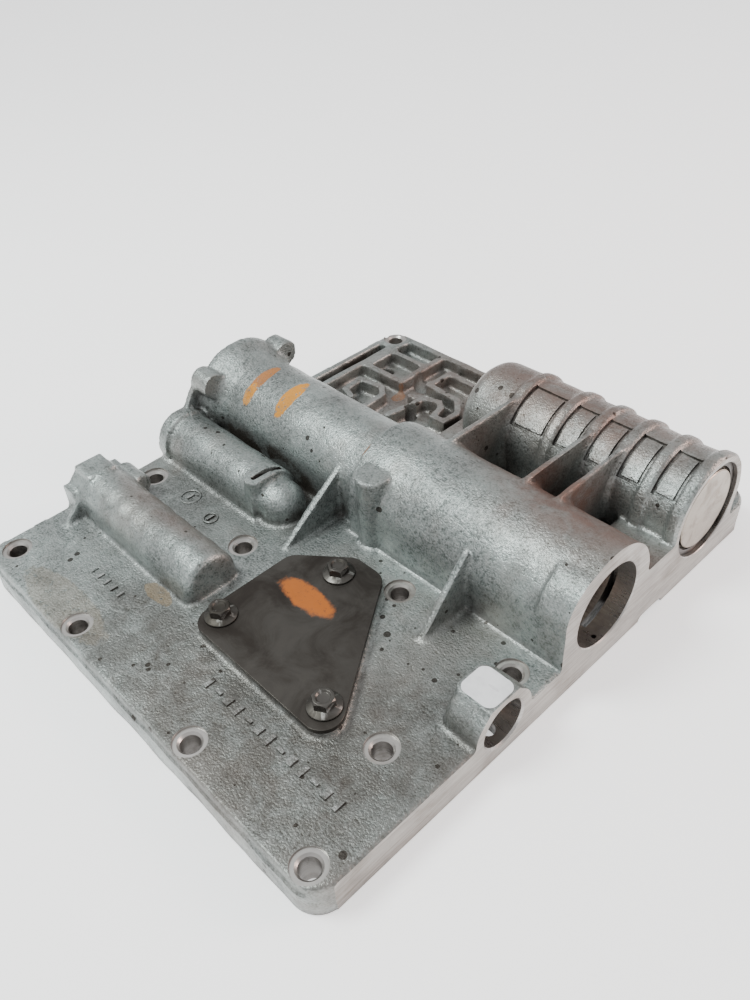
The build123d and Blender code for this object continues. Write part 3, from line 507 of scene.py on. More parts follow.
def grain_group() -> bpy.types.NodeTree:
    """Sand-cast grain: a height for bump, a slow mottle and a mask of small dark pits."""
    tree, sheet, source, sink = socket_group(
        "sand_grain",
        [("Scale", FLOAT, 1.0), ("Pits", FLOAT, 0.5)],
        [("Height", FLOAT), ("Mottle", FLOAT), ("Pits", FLOAT)],
    )
    position = sheet.add("ShaderNodeVectorMath", {0: sheet.where()}, operation="SCALE")
    sheet.feed(position.inputs["Scale"], source.outputs["Scale"])
    spot = position.outputs[0]
    coarse = sheet.clouds(spot, 420.0, 4.0, 0.62)
    fine = sheet.clouds(spot, 1150.0, 2.0, 0.6)
    slow = sheet.clouds(spot, 38.0, 4.0, 0.55, 0.3)
    cells = sheet.add("ShaderNodeTexVoronoi", {"Vector": spot, "Scale": 170.0, "Randomness": 1.0})
    parts = sheet.add("ShaderNodeSeparateColor", {0: cells.outputs["Color"]})
    patches = sheet.ramp(sheet.clouds(spot, 30.0, 2.0, 0.5), 0.40, 0.66)
    share = sheet.maths("MULTIPLY", parts.outputs[0], source.outputs["Pits"])
    size = sheet.maths("MULTIPLY", share, patches)
    reach = sheet.maths("MULTIPLY", size, 0.36)
    pits = sheet.maths("LESS_THAN", cells.outputs["Distance"], reach)
    height = sheet.maths("ADD", sheet.maths("MULTIPLY", coarse, 0.42), sheet.maths("MULTIPLY", fine, 0.58))
    sheet.feed(sink.inputs["Height"], sheet.maths("SUBTRACT", height, sheet.maths("MULTIPLY", pits, 0.5)))
    sheet.feed(sink.inputs["Mottle"], slow)
    sheet.feed(sink.inputs["Pits"], pits)
    return tree


def grime_and_shade_group() -> bpy.types.NodeTree:
    """Oily dirt and painted shade: a patchy dirt film everywhere, painted shade that gathers in corners and
    recesses and thins out on open faces, and a painted highlight band just out from those corners.
    """
    outputs = [("Mask", FLOAT), ("Lip Highlight", FLOAT)]
    tree, sheet, source, sink = socket_group("oil_grime_and_corner_shade", [("Amount", FLOAT, 0.5)], outputs)
    hidden = sheet.add("ShaderNodeAmbientOcclusion", {"Distance": 9 * MM}, samples=8)
    # Painted highlight: a bright band where the occlusion is middling, a few millimetres out from the foot
    # of each wall, standing in for a lit lip.
    rise = sheet.ramp(hidden.outputs["AO"], 0.60, 0.68)
    fall = sheet.ramp(hidden.outputs["AO"], 0.80, 0.71)
    uneven = sheet.ramp(sheet.clouds(sheet.where(), 260.0, 3.0, 0.6), 0.38, 0.60)
    sheet.feed(sink.inputs["Lip Highlight"], sheet.maths("MULTIPLY", sheet.maths("MULTIPLY", rise, fall), uneven))
    # Painted shade: the more hidden a point is in a corner or recess, the darker it gets.
    corner = sheet.ramp(hidden.outputs["AO"], 0.78, 0.28)
    patches = sheet.ramp(sheet.clouds(sheet.where(), 70.0, 6.0, 0.65, 0.4), 0.40, 0.72)
    overlay = sheet.maths("MULTIPLY", patches, 0.35)
    gathered_dirt_and_shade = sheet.maths("MULTIPLY", corner, sheet.maths("ADD", patches, 0.55))
    both = sheet.maths("ADD", overlay, gathered_dirt_and_shade)
    sheet.feed(sink.inputs["Mask"], sheet.maths("MULTIPLY", both, source.outputs["Amount"], clamp=True))
    return tree


def wear_group() -> bpy.types.NodeTree:
    """Bright wear on outside edges, broken up by scratches."""
    tree, sheet, source, sink = socket_group("edge_wear", [("Amount", FLOAT, 0.5)], [("Mask", FLOAT)])
    shape = sheet.add("ShaderNodeNewGeometry").outputs["Pointiness"]
    edge = sheet.ramp(shape, 0.515, 0.60)
    broken = sheet.ramp(sheet.clouds(sheet.where(), 300.0, 4.0, 0.6), 0.35, 0.62)
    mask = sheet.maths("MULTIPLY", edge, broken)
    sheet.feed(sink.inputs["Mask"], sheet.maths("MULTIPLY", mask, source.outputs["Amount"], clamp=True))
    return tree


def tooling_group() -> bpy.types.NodeTree:
    """Fine tooling marks: long streaks along one axis and small scratches."""
    tree, sheet, source, sink = socket_group(
        "tooling_marks",
        [("Along", FLOAT, 60.0), ("Across", FLOAT, 1800.0)],
        [("Height", FLOAT), ("Streak", FLOAT)],
    )
    parts = sheet.add("ShaderNodeSeparateXYZ", {0: sheet.where()})
    stretched = sheet.add("ShaderNodeCombineXYZ")
    sheet.feed(stretched.inputs[0], sheet.maths("MULTIPLY", parts.outputs[0], source.outputs["Along"]))
    sheet.feed(stretched.inputs[1], sheet.maths("MULTIPLY", parts.outputs[1], source.outputs["Along"]))
    sheet.feed(stretched.inputs[2], sheet.maths("MULTIPLY", parts.outputs[2], source.outputs["Across"]))
    streak = sheet.clouds(stretched.outputs[0], 1.0, 4.0, 0.6)
    nicks = sheet.clouds(sheet.where(), 900.0, 3.0, 0.7)
    sheet.feed(sink.inputs["Height"], sheet.maths("ADD", streak, sheet.maths("MULTIPLY", nicks, 0.4)))
    sheet.feed(sink.inputs["Streak"], streak)
    return tree


def rings_group() -> bpy.types.NodeTree:
    """Turning rings about an axis along X through a given point."""
    tree, sheet, source, sink = socket_group(
        "turning_rings",
        [("Axis Y", FLOAT, 0.0), ("Axis Z", FLOAT, 0.0), ("Pitch", FLOAT, 0.5 * MM)],
        [("Height", FLOAT)],
    )
    parts = sheet.add("ShaderNodeSeparateXYZ", {0: sheet.where()})
    dy = sheet.maths("SUBTRACT", parts.outputs[1], source.outputs["Axis Y"])
    dz = sheet.maths("SUBTRACT", parts.outputs[2], source.outputs["Axis Z"])
    square = sheet.maths("ADD", sheet.maths("MULTIPLY", dy, dy), sheet.maths("MULTIPLY", dz, dz))
    radius = sheet.maths("SQRT", square)
    waver = sheet.maths("MULTIPLY", sheet.clouds(sheet.where(), 120.0, 2.0), 0.6)
    phase = sheet.maths("ADD", sheet.maths("DIVIDE", radius, source.outputs["Pitch"]), waver)
    wave = sheet.maths("SINE", sheet.maths("MULTIPLY", phase, TAU))
    sheet.feed(sink.inputs["Height"], wave)
    return tree


class Effects:
    """The shared node groups, each built once."""

    def __init__(self) -> None:
        """Build every group."""
        self.grain = grain_group()
        self.grime_and_shade = grime_and_shade_group()
        self.wear = wear_group()
        self.tooling = tooling_group()
        self.rings = rings_group()


EFFECTS = Effects()


def blank_material(name: str) -> tuple[bpy.types.Material, NodeSheet, bpy.types.Node]:
    """Start a material with only a Principled shader."""
    material = bpy.data.materials.new(name)
    material.use_nodes = True
    material.node_tree.nodes.clear()
    sheet = NodeSheet(material.node_tree)
    shader = sheet.add("ShaderNodeBsdfPrincipled")
    sheet.add("ShaderNodeOutputMaterial", {"Surface": shader.outputs[0]})
    return material, sheet, shader


def use_group(sheet: NodeSheet, tree: bpy.types.NodeTree, **values: object) -> bpy.types.Node:
    """Place a shared group in a material."""
    node = sheet.add("ShaderNodeGroup", node_tree=tree)
    for key, value in values.items():
        sheet.feed(node.inputs[key.replace("_", " ")], value)
    return node


def bump(
    sheet: NodeSheet, shader: bpy.types.Node, height: object, strength: float, distance: float
) -> None:
    """Wire a height to a shader's normal."""
    node = sheet.add("ShaderNodeBump", {"Height": height})
    node.inputs["Strength"].default_value = strength
    node.inputs["Distance"].default_value = distance
    sheet.feed(shader.inputs["Normal"], node.outputs[0])


# ================================================================ finishes
@dataclass(frozen=True)
class Patch:
    """A ragged patch of paint or stain.

    Attributes:
        centre: its middle.
        radii: its half sizes.
        colour: its colour.
        strength: how much it covers.
        soft: half width of its fading edge.
    """

    centre: Point
    radii: Point
    colour: Colour
    strength: float = 1.0
    soft: float = 0.06


@dataclass(frozen=True)
class CastFinish:
    """Oily sand-cast aluminium, with patches of marking paint and rust, painted shade in corners, a painted
    highlight along the foot of the walls and painted warm reflections on the +Y sides.
    """

    name: str
    light: Colour = (0.300, 0.348, 0.334)
    dark: Colour = (0.135, 0.155, 0.149)
    dirt_and_shade: Colour = (0.034, 0.029, 0.024)
    bright: Colour = (0.56, 0.575, 0.565)
    warm: Colour = (0.235, 0.195, 0.170)
    patches: tuple[Patch, ...] = ()
    stains_and_reflections: tuple[Patch, ...] = ()

    def material(self) -> bpy.types.Material:
        """Build the material."""
        material, sheet, shader = blank_material(self.name)
        grain = use_group(sheet, EFFECTS.grain, Scale=1.0, Pits=0.85)
        grime_and_shade = use_group(sheet, EFFECTS.grime_and_shade, Amount=0.95)
        wear = use_group(sheet, EFFECTS.wear, Amount=0.75)
        mottle = sheet.ramp(grain.outputs["Mottle"], 0.34, 0.68)
        speck = sheet.ramp(grain.outputs["Height"], 0.36, 0.62)
        base = sheet.blend(mottle, self.dark, self.light)
        base = sheet.blend(sheet.maths("MULTIPLY", speck, 0.42), base, self.bright)
        hollow = sheet.ramp(grain.outputs["Height"], 0.47, 0.30)
        base = sheet.blend(sheet.maths("MULTIPLY", hollow, 0.55), base, self.dirt_and_shade)
        warm = sheet.ramp(sheet.clouds(sheet.where(), 20.0, 4.0, 0.6), 0.48, 0.70)
        base = sheet.blend(sheet.maths("MULTIPLY", warm, 0.5), base, self.warm)
        base = sheet.blend(wear.outputs["Mask"], base, self.bright)
        # Painted highlight: the bright band along the foot of the walls.
        base = sheet.blend(sheet.maths("MULTIPLY", grime_and_shade.outputs["Lip Highlight"], 0.55), base, self.bright)
        cover = 0.0
        # Oil stains and painted warm reflections, laid as fixed soft patches.
        for overlay in self.stains_and_reflections:
            mask = sheet.spot(overlay.centre, overlay.radii, 0.35, 40.0, overlay.soft)
            uneven = sheet.ramp(sheet.clouds(sheet.where(), 75.0, 5.0, 0.65, 0.5), 0.25, 0.62, 0.35, 1.0)
            mask = sheet.maths("MULTIPLY", sheet.maths("MULTIPLY", mask, overlay.strength), uneven)
            base = sheet.blend(mask, base, overlay.colour)
        for patch in self.patches:
            mask = sheet.maths("MULTIPLY", sheet.spot(patch.centre, patch.radii), patch.strength)
            worn = sheet.ramp(sheet.clouds(sheet.where(), 420.0, 3.0, 0.7), 0.30, 0.46)
            mask = sheet.maths("MULTIPLY", mask, worn)
            base = sheet.blend(mask, base, patch.colour)
            cover = sheet.maths("MAXIMUM", cover, mask)
        base = sheet.blend(sheet.maths("MULTIPLY", grain.outputs["Pits"], 0.8), base, self.dirt_and_shade)
        # Painted shade: corners and recesses darkened through the occlusion mask, over a thin dirt film.
        base = sheet.blend(grime_and_shade.outputs["Mask"], base, self.dirt_and_shade)
        sheet.feed(shader.inputs["Base Color"], base)
        dull = sheet.maths("MAXIMUM", cover, sheet.maths("MULTIPLY", grime_and_shade.outputs["Mask"], 0.8))
        lost = sheet.maths("MULTIPLY", dull, 0.75)
        sheet.feed(shader.inputs["Metallic"], sheet.maths("SUBTRACT", 0.82, lost))
        rough = sheet.ramp(grain.outputs["Mottle"], 0.3, 0.7, 0.48, 0.35)
        matt = sheet.maths("MULTIPLY", cover, 0.2)
        sheet.feed(shader.inputs["Roughness"], sheet.maths("ADD", rough, matt))
        bump(sheet, shader, grain.outputs["Height"], 1.0, 0.52 * MM)
        return material


@dataclass(frozen=True)
class MachinedFinish:
    """Milled or bored aluminium with tooling marks, thin brown oil stains and painted shade in corners."""

    name: str
    metal: Colour = (0.30, 0.272, 0.245)
    stain: Colour = (0.15, 0.115, 0.09)
    roughness: float = 0.34
    grime_and_shade: float = 0.55
    along: float = 60.0
    across: float = 2200.0

    def material(self) -> bpy.types.Material:
        """Build the material."""
        material, sheet, shader = blank_material(self.name)
        tooling = use_group(sheet, EFFECTS.tooling, Along=self.along, Across=self.across)
        grime_and_shade = use_group(sheet, EFFECTS.grime_and_shade, Amount=self.grime_and_shade)
        stains = sheet.ramp(sheet.clouds(sheet.where(), 34.0, 5.0, 0.6, 0.6), 0.44, 0.70)
        base = sheet.blend(sheet.maths("MULTIPLY", stains, 0.55), self.metal, self.stain)
        tint = sheet.ramp(tooling.outputs["Streak"], 0.35, 0.65)
        base = sheet.blend(sheet.maths("MULTIPLY", tint, 0.30), base, (0.62, 0.60, 0.58))
        # Painted shade in corners and bores, over a thin dirt film.
        base = sheet.blend(grime_and_shade.outputs["Mask"], base, (0.04, 0.032, 0.026))
        sheet.feed(shader.inputs["Base Color"], base)
        shader.inputs["Metallic"].default_value = 0.9
        dullest, finest = self.roughness + 0.08, self.roughness - 0.05
        rough = sheet.ramp(tooling.outputs["Streak"], 0.3, 0.7, dullest, finest)
        matt = sheet.maths("MULTIPLY", stains, 0.12)
        sheet.feed(shader.inputs["Roughness"], sheet.maths("ADD", rough, matt))
        bump(sheet, shader, tooling.outputs["Height"], 0.35, 0.05 * MM)
        return material


@dataclass(frozen=True)
class SteelFinish:
    """Plain or phosphated steel with smeared oil, bright worn edges and painted shade in corners."""

    name: str
    metal: Colour = (0.085, 0.078, 0.070)
    dark: Colour = (0.038, 0.032, 0.028)
    edge: Colour = (0.42, 0.41, 0.39)
    roughness: float = 0.36
    wear: float = 0.6
    patches: tuple[Patch, ...] = ()

    def material(self) -> bpy.types.Material:
        """Build the material."""
        material, sheet, shader = blank_material(self.name)
        grime_and_shade = use_group(sheet, EFFECTS.grime_and_shade, Amount=0.5)
        wear = use_group(sheet, EFFECTS.wear, Amount=self.wear)
        smear = sheet.ramp(sheet.clouds(sheet.where(), 46.0, 5.0, 0.62, 0.9), 0.36, 0.70)
        nicks = sheet.clouds(sheet.where(), 1300.0, 4.0, 0.72)
        base = sheet.blend(smear, self.metal, self.dark)
        base = sheet.blend(wear.outputs["Mask"], base, self.edge)
        cover = 0.0
        for patch in self.patches:
            shape = sheet.spot(patch.centre, patch.radii, 0.45, 150.0, patch.soft)
            mask = sheet.maths("MULTIPLY", shape, patch.strength)
            worn = sheet.ramp(sheet.clouds(sheet.where(), 380.0, 4.0, 0.72), 0.26, 0.42)
            mask = sheet.maths("MULTIPLY", mask, worn)
            base = sheet.blend(mask, base, patch.colour)
            cover = sheet.maths("MAXIMUM", cover, mask)
        # Painted shade in corners and recesses, over a thin dirt film.
        base = sheet.blend(grime_and_shade.outputs["Mask"], base, (0.02, 0.017, 0.014))
        sheet.feed(shader.inputs["Base Color"], base)
        lost = sheet.maths("MULTIPLY", cover, 0.9)
        sheet.feed(shader.inputs["Metallic"], sheet.maths("SUBTRACT", 0.92, lost))
        rough = sheet.ramp(smear, 0.0, 1.0, self.roughness, self.roughness + 0.14)
        matt = sheet.maths("MULTIPLY", cover, 0.2)
        sheet.feed(shader.inputs["Roughness"], sheet.maths("ADD", rough, matt))
        bump(sheet, shader, nicks, 0.25, 0.04 * MM)
        return material


@dataclass(frozen=True)
class TurnedFinish:
    """Turned metal with fine rings about its bore's axis."""

    name: str
    bore: Bore
    metal: Colour = (0.35, 0.30, 0.25)
    stain: Colour = (0.19, 0.15, 0.115)
    roughness: float = 0.33
    pitch: float = 0.45 * MM

    def material(self) -> bpy.types.Material:
        """Build the material."""
        material, sheet, shader = blank_material(self.name)
        values = {"Axis_Y": self.bore.y, "Axis_Z": self.bore.z, "Pitch": self.pitch}
        rings = use_group(sheet, EFFECTS.rings, **values)
        grime_and_shade = use_group(sheet, EFFECTS.grime_and_shade, Amount=0.6)
        stains = sheet.ramp(sheet.clouds(sheet.where(), 90.0, 5.0, 0.6, 0.5), 0.42, 0.72)
        base = sheet.blend(sheet.maths("MULTIPLY", stains, 0.6), self.metal, self.stain)
        groove = sheet.ramp(rings.outputs["Height"], -1.0, 1.0, 0.0, 0.14)
        base = sheet.blend(groove, base, (0.78, 0.75, 0.70))
        # Painted shade in corners and recesses, over a thin dirt film.
        base = sheet.blend(grime_and_shade.outputs["Mask"], base, (0.05, 0.04, 0.03))
        sheet.feed(shader.inputs["Base Color"], base)
        shader.inputs["Metallic"].default_value = 0.88
        rough = sheet.ramp(stains, 0.0, 1.0, self.roughness, self.roughness + 0.16)
        sheet.feed(shader.inputs["Roughness"], rough)
        bump(sheet, shader, rings.outputs["Height"], 0.25, 0.02 * MM)
        return material


@dataclass(frozen=True)
class SoftFinish:
    """Rubber, gasket board or paper: dull, lightly mottled, faintly dirty, with painted shade in corners.
    """

    name: str
    colour: Colour
    fleck: Colour
    roughness: float = 0.6
    scale: float = 500.0
    grime_and_shade: float = 0.3
    patches: tuple[Patch, ...] = ()

    def material(self) -> bpy.types.Material:
        """Build the material."""
        material, sheet, shader = blank_material(self.name)
        grime_and_shade = use_group(sheet, EFFECTS.grime_and_shade, Amount=self.grime_and_shade)
        fibres = sheet.clouds(sheet.where(), self.scale, 5.0, 0.65)
        base = sheet.blend(sheet.ramp(fibres, 0.40, 0.70), self.colour, self.fleck)
        for patch in self.patches:
            shape = sheet.spot(patch.centre, patch.radii, 0.5, 420.0)
            mask = sheet.maths("MULTIPLY", shape, patch.strength)
            base = sheet.blend(mask, base, patch.colour)
        # Painted shade in corners and recesses, over a thin dirt film.
        base = sheet.blend(grime_and_shade.outputs["Mask"], base, (0.05, 0.042, 0.034))
        sheet.feed(shader.inputs["Base Color"], base)
        rough = sheet.ramp(fibres, 0.3, 0.7, self.roughness - 0.06, self.roughness + 0.08)
        sheet.feed(shader.inputs["Roughness"], rough)
        bump(sheet, shader, fibres, 0.3, 0.04 * MM)
        return material


ORANGE = (0.40, 0.13, 0.004)
LIGHT_ORANGE = (0.62, 0.25, 0.008)
RUST = (0.22, 0.10, 0.045)

OCHRE = (0.25, 0.17, 0.08)


def spot_at(
    x: float,
    y: float,
    z: float,
    rx: float,
    ry: float,
    rz: float,
    colour: Colour,
    cover: float,
    soft: float = 0.06,
) -> Patch:
    """A patch given in millimetres: middle, half sizes, colour, cover and fading edge."""
    return Patch((x * MM, y * MM, z * MM), (rx * MM, ry * MM, rz * MM), colour, cover, soft)


CAST_PATCHES = (
    spot_at(-80.8, 11.5, 49, 3.2, 11.0, 12, ORANGE, 0.85),
    spot_at(-81.2, 3.5, 45, 2.9, 5.0, 9, LIGHT_ORANGE, 0.80),
    spot_at(-59.0, 11.0, 49, 4.0, 11.0, 12, LIGHT_ORANGE, 0.97),
    spot_at(-2.6, 5.0, 51, 1.5, 4.0, 4, RUST, 0.85),
    spot_at(-67.0, 86.0, 12, 4.0, 5.0, 6, RUST, 0.8),
    spot_at(-31.0, -88.0, 15, 9.0, 3.5, 4, OCHRE, 0.55),
    spot_at(-55.0, -118.0, 15, 30.0, 9.0, 4, OCHRE, 0.22),
)

OIL_BROWN = (0.075, 0.060, 0.050)
# Painted reflection: the pinkish brown of warm surroundings, for the +Y sides.
REFLECTION_BROWN = (0.20, 0.115, 0.09)
OVERLAY_EDGE = 0.55

# Soft patches: brown oil stains on the plate, then painted warm reflections on the +Y flanks of the barrels
# and the far plate.
CAST_STAINS_AND_REFLECTIONS = (
    spot_at(35, -104, 15, 88, 27, 9, OIL_BROWN, 0.74, OVERLAY_EDGE),
    spot_at(92, -66, 15, 28, 34, 9, OIL_BROWN, 0.66, OVERLAY_EDGE),
    spot_at(-60, -30, 15, 46, 26, 9, OIL_BROWN, 0.38, OVERLAY_EDGE),
    spot_at(88, 34, 42, 42, 26, 24, REFLECTION_BROWN, 0.95, OVERLAY_EDGE),
    spot_at(45, 92, 50, 70, 22, 14, REFLECTION_BROWN, 0.75, OVERLAY_EDGE),
    spot_at(30, 44, 42, 44, 12, 18, REFLECTION_BROWN, 0.55, OVERLAY_EDGE),
    spot_at(-40, 96, 14, 60, 34, 12, REFLECTION_BROWN, 0.50, OVERLAY_EDGE),
    spot_at(-52, -64, 30, 40, 7, 12, REFLECTION_BROWN, 0.42, OVERLAY_EDGE),
)


# ================================================================ the casting
@dataclass
class Casting:
    """The cast body: soft sand-cast skin with crisp bored, drilled and milled faces.

    Attributes:
        voxel: size of the cells that the skin is remade from.
        overhang: how far the skin runs past the milled faces before they are cut.
        soften: rounds of smoothing.
        waver: height of the slow unevenness.
        waver_size: length of the slow unevenness.
        triangles: triangles kept in the skin.
        ribs: depths of the ribs on the ribbed barrel.
        pocket_angles: first and last angle of the ribbed barrel's panels, in degrees.
        pad_radius: outer radius of the panels.
        groove_width: width of the groove round a panel.
        pocket_edge: gap between a panel and the ribs beside it.
        long_row: number of raised bars in the long row.
        short_row: number of raised bars in the short row.
        bar_halves: half width and half length of the bars in turn, in millimetres.
        wave_height: height of the waves along the long barrel.
        wave_pitch: distance between two of the waves.
        ledge: how far the plate's lower edge stands out.
        ledge_height: height of that edge.
        hole_radius: radius of the bolt holes.
        ring_radius: radius of the spot faces.
        ring_depth: depth of the spot faces.
        chamfer: chamfer of the bolt holes.
        retainer_depth: depth of the spring retainer's slot in the shift bore.
        retainer_width: width of that slot.
        feed_depth: depth of the drilled ways into the spool bores.
        feed_radius: radius of those ways.
        drain_radius: radius of the small drain way.
        port_feed_radius: radius of the way into the open port.
        start_below: height that the drilled ways start from.
    """

    voxel: float = 0.9 * MM
    overhang: float = 3 * MM
    soften: int = 3
    waver: float = 0.35 * MM
    waver_size: float = 11 * MM
    triangles: int = 186000
    ribs: tuple[float, ...] = tuple(depth * MM for depth in (3.0, 19.0, 35.0, 51.0, 67.0, 90.0))
    pocket_angles: tuple[float, float] = (94.0, 148.0)
    pad_radius: float = 23.0 * MM
    groove_width: float = 1.6 * MM
    pocket_edge: float = 2.7 * MM
    long_row: int = 13
    short_row: int = 5
    bar_halves: tuple[tuple[float, float], ...] = ((0.8, 2.4), (1.6, 0.65), (1.3, 1.9))
    wave_height: float = 0.15 * MM
    wave_pitch: float = 10.5 * MM
    ledge: float = 0.8 * MM
    ledge_height: float = 10.5 * MM
    hole_radius: float = 3.85 * MM
    ring_radius: float = 6.4 * MM
    ring_depth: float = 0.9 * MM
    chamfer: float = 0.9 * MM
    retainer_depth: float = 70.5 * MM
    retainer_width: float = 2.5 * MM
    feed_depth: float = 7 * MM
    feed_radius: float = 1.55 * MM
    drain_radius: float = 1.0 * MM
    port_feed_radius: float = 3.0 * MM
    start_below: float = -1 * MM

    def holes(self) -> list[tuple[float, float]]:
        """Centres of the bolt holes through the plate."""
        near = -119.8 * MM
        far = 120.7 * MM
        return [
            (101.0 * MM, near),
            (37.4 * MM, near),
            (-41.1 * MM, near),
            (-101.2 * MM, near + 4 * MM),
            (87.2 * MM, -75.5 * MM),
            (-28.9 * MM, -46.3 * MM),
            (-99.3 * MM, -45.7 * MM),
            (39.9 * MM, -19.6 * MM),
            (98.2 * MM, -20.6 * MM),
            (-103.7 * MM, far),
            (101.0 * MM, far),
            (39.0 * MM, far),
        ]

    def bore_profiles(self) -> list[tuple[Bore, list[tuple[float, float]]]]:
        """Depth and radius of each bore's wall, from outside its mouth to its end."""
        out = -self.overhang - MM
        return [
            (FRONT, self.stepped(out, 18.2, 14.2, 102.0, 0.5)),
            (REAR, self.stepped(out, 16.0, 3.0, 99.5, 0.5)),
            (RIBBED, self.mouthed(out)),
            (REGULATOR, self.plain(out, 7.5, 88.0)),
            (SHIFT, self.plain(out, 7.0, 70.5)[:-1] + self.stem_pocket(70.5)),
            (PORT, self.plain(out, 10.0, 11.0, 0.8)),
        ]

    def plain(
        self, out: float, radius: float, depth: float, chamfer: float = 0.5
    ) -> list[tuple[float, float]]:
        """Profile of a plain blind bore, sizes in millimetres, with a chamfered mouth."""
        r, c = radius * MM, chamfer * MM
        return [(out, 0), (out, r + c), (0, r + c), (c, r), (depth * MM, r), (depth * MM, 0)]

    def stem_pocket(self, depth: float) -> list[tuple[float, float]]:
        """The narrower pocket beyond a bore, which clears the spool's stem."""
        start, end, radius = depth * MM, (depth + 9.0) * MM, 4.2 * MM
        return [(start, radius), (end, radius), (end, 0)]

    def stepped(
        self, out: float, radius: float, groove: float, depth: float, chamfer: float
    ) -> list[tuple[float, float]]:
        """Profile of a blind bore with a retaining ring's groove."""
        r, c, g = radius * MM, chamfer * MM, groove * MM
        deep, width, end = r + 1.6 * MM, 1.8 * MM, depth * MM
        start = [(out, 0), (out, r + c), (0, r + c), (c, r)]
        return start + [(g, r), (g, deep), (g + width, deep), (g + width, r), (end, r), (end, 0)]

    def mouthed(self, out: float) -> list[tuple[float, float]]:
        """Profile of the ribbed barrel's bore: a wide mouth with its groove, then the bore."""
        mouth, bore, groove, width = 21.3 * MM, 18.5 * MM, 2.0 * MM, 1.8 * MM
        deep, floor, end = mouth + 1.6 * MM, 6.2 * MM, 108.0 * MM
        start = [(out, 0), (out, mouth + 0.4 * MM), (0, mouth + 0.4 * MM), (0.4 * MM, mouth)]
        ring = [(groove, mouth), (groove, deep), (groove + width, deep), (groove + width, mouth)]
        return start + ring + [(floor, mouth), (floor, bore), (end, bore), (end, 0)]

    def blank(self) -> bpy.types.Object:
        """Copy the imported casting, overhang its milled faces and fill its bores and holes."""
        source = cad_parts["valve_body_casting"]
        obj = source.copy()
        obj.data = source.data.copy()
        obj.parent = None
        obj.matrix_world = Matrix.Identity(4)
        for key in list(obj.keys()):
            del obj[key]
        bpy.context.collection.objects.link(obj)
        take(obj)
        named("cast_body")
        mend(obj, 0.005 * MM, turn_out=False)
        self.overhang_faces(obj)
        fillers = []
        for bore, profile in self.bore_profiles():
            mouth = profile[0][0] + MM if bore.side > 0 else 0.0
            fillers.append(bar(bore, self.widest(profile), mouth, profile[-1][0] + 0.2 * MM))
        low = -self.overhang
        fillers += [post(x, y, self.ring_radius + 0.1 * MM, low, PLATE_TOP, 32) for x, y in self.holes()]
        return together([obj, *fillers, *self.pads()], "cast_body")

    def widest(self, profile: list[tuple[float, float]]) -> float:
        """Radius of filling that closes a bore and its groove."""
        return max(radius for _, radius in profile) + 0.1 * MM

    def overhang_faces(self, obj: bpy.types.Object) -> None:
        """Push the milled face and the gasket face outwards, to be milled back later."""
        for vertex in obj.data.vertices:
            if vertex.co.x > FACE_X - 0.02 * MM:
                vertex.co.x += self.overhang
            if vertex.co.z < 0.02 * MM:
                vertex.co.z -= self.overhang

    def bays(self) -> list[tuple[float, float]]:
        """Depths between which each framed pocket of the ribbed barrel lies."""
        edge = self.pocket_edge
        return [(near + edge, far - edge) for near, far in zip(self.ribs, self.ribs[1:])]

    def panel(self, near: float, far: float, radii: tuple[float, float], shrink: float) -> bpy.types.Object:
        """One curved slab over a pocket of the ribbed barrel.

        Args:
            near: depth of its near edge.
            far: depth of its far edge.
            radii: its inner and outer radius about the barrel's axis.
            shrink: how far its top and bottom edges stand inside the pocket's.

        Returns:
            A closed curved slab.
        """
        first, last = (math.radians(angle) for angle in self.pocket_angles)
        first += shrink / radii[1]
        last -= shrink / radii[1]
        nothing_selected()
        bpy.ops.mesh.primitive_cube_add(size=1, location=(0, 0, 0))
        obj = named("panel")
        bpy.ops.object.mode_set(mode="EDIT")
        bpy.ops.mesh.subdivide(number_cuts=11)
        bpy.ops.object.mode_set(mode="OBJECT")
        for vertex in obj.data.vertices:
            along, sweep, out = (value + 0.5 for value in vertex.co)
            angle = first + (last - first) * sweep
            radius = radii[0] + (radii[1] - radii[0]) * out
            vertex.co = (
                RIBBED.at(near + (far - near) * along),
                RIBBED.y + radius * math.cos(angle),
                RIBBED.z + radius * math.sin(angle),
            )
        return mend(obj)

    def pads(self) -> list[bpy.types.Object]:
        """The raised panels that nearly fill the pockets."""
        radii = (self.pad_radius - 2.5 * MM, self.pad_radius)
        return [self.panel(near, far, radii, 0.0) for near, far in self.bays()]

    def grooves(self) -> list[bpy.types.Object]:
        """Cutters for the narrow groove round each raised panel."""
        made = []
        wide = self.groove_width
        for near, far in self.bays():
            outer = self.panel(near, far, (self.pad_radius - 0.9 * MM, self.pad_radius + 3 * MM), 0.0)
            tall = (self.pad_radius - 2 * MM, self.pad_radius + 4 * MM)
            inner = self.panel(near + wide, far - wide, tall, wide)
            made.append(rounded(boolean(outer, inner), 0.5 * MM, 2, 50))
        return made

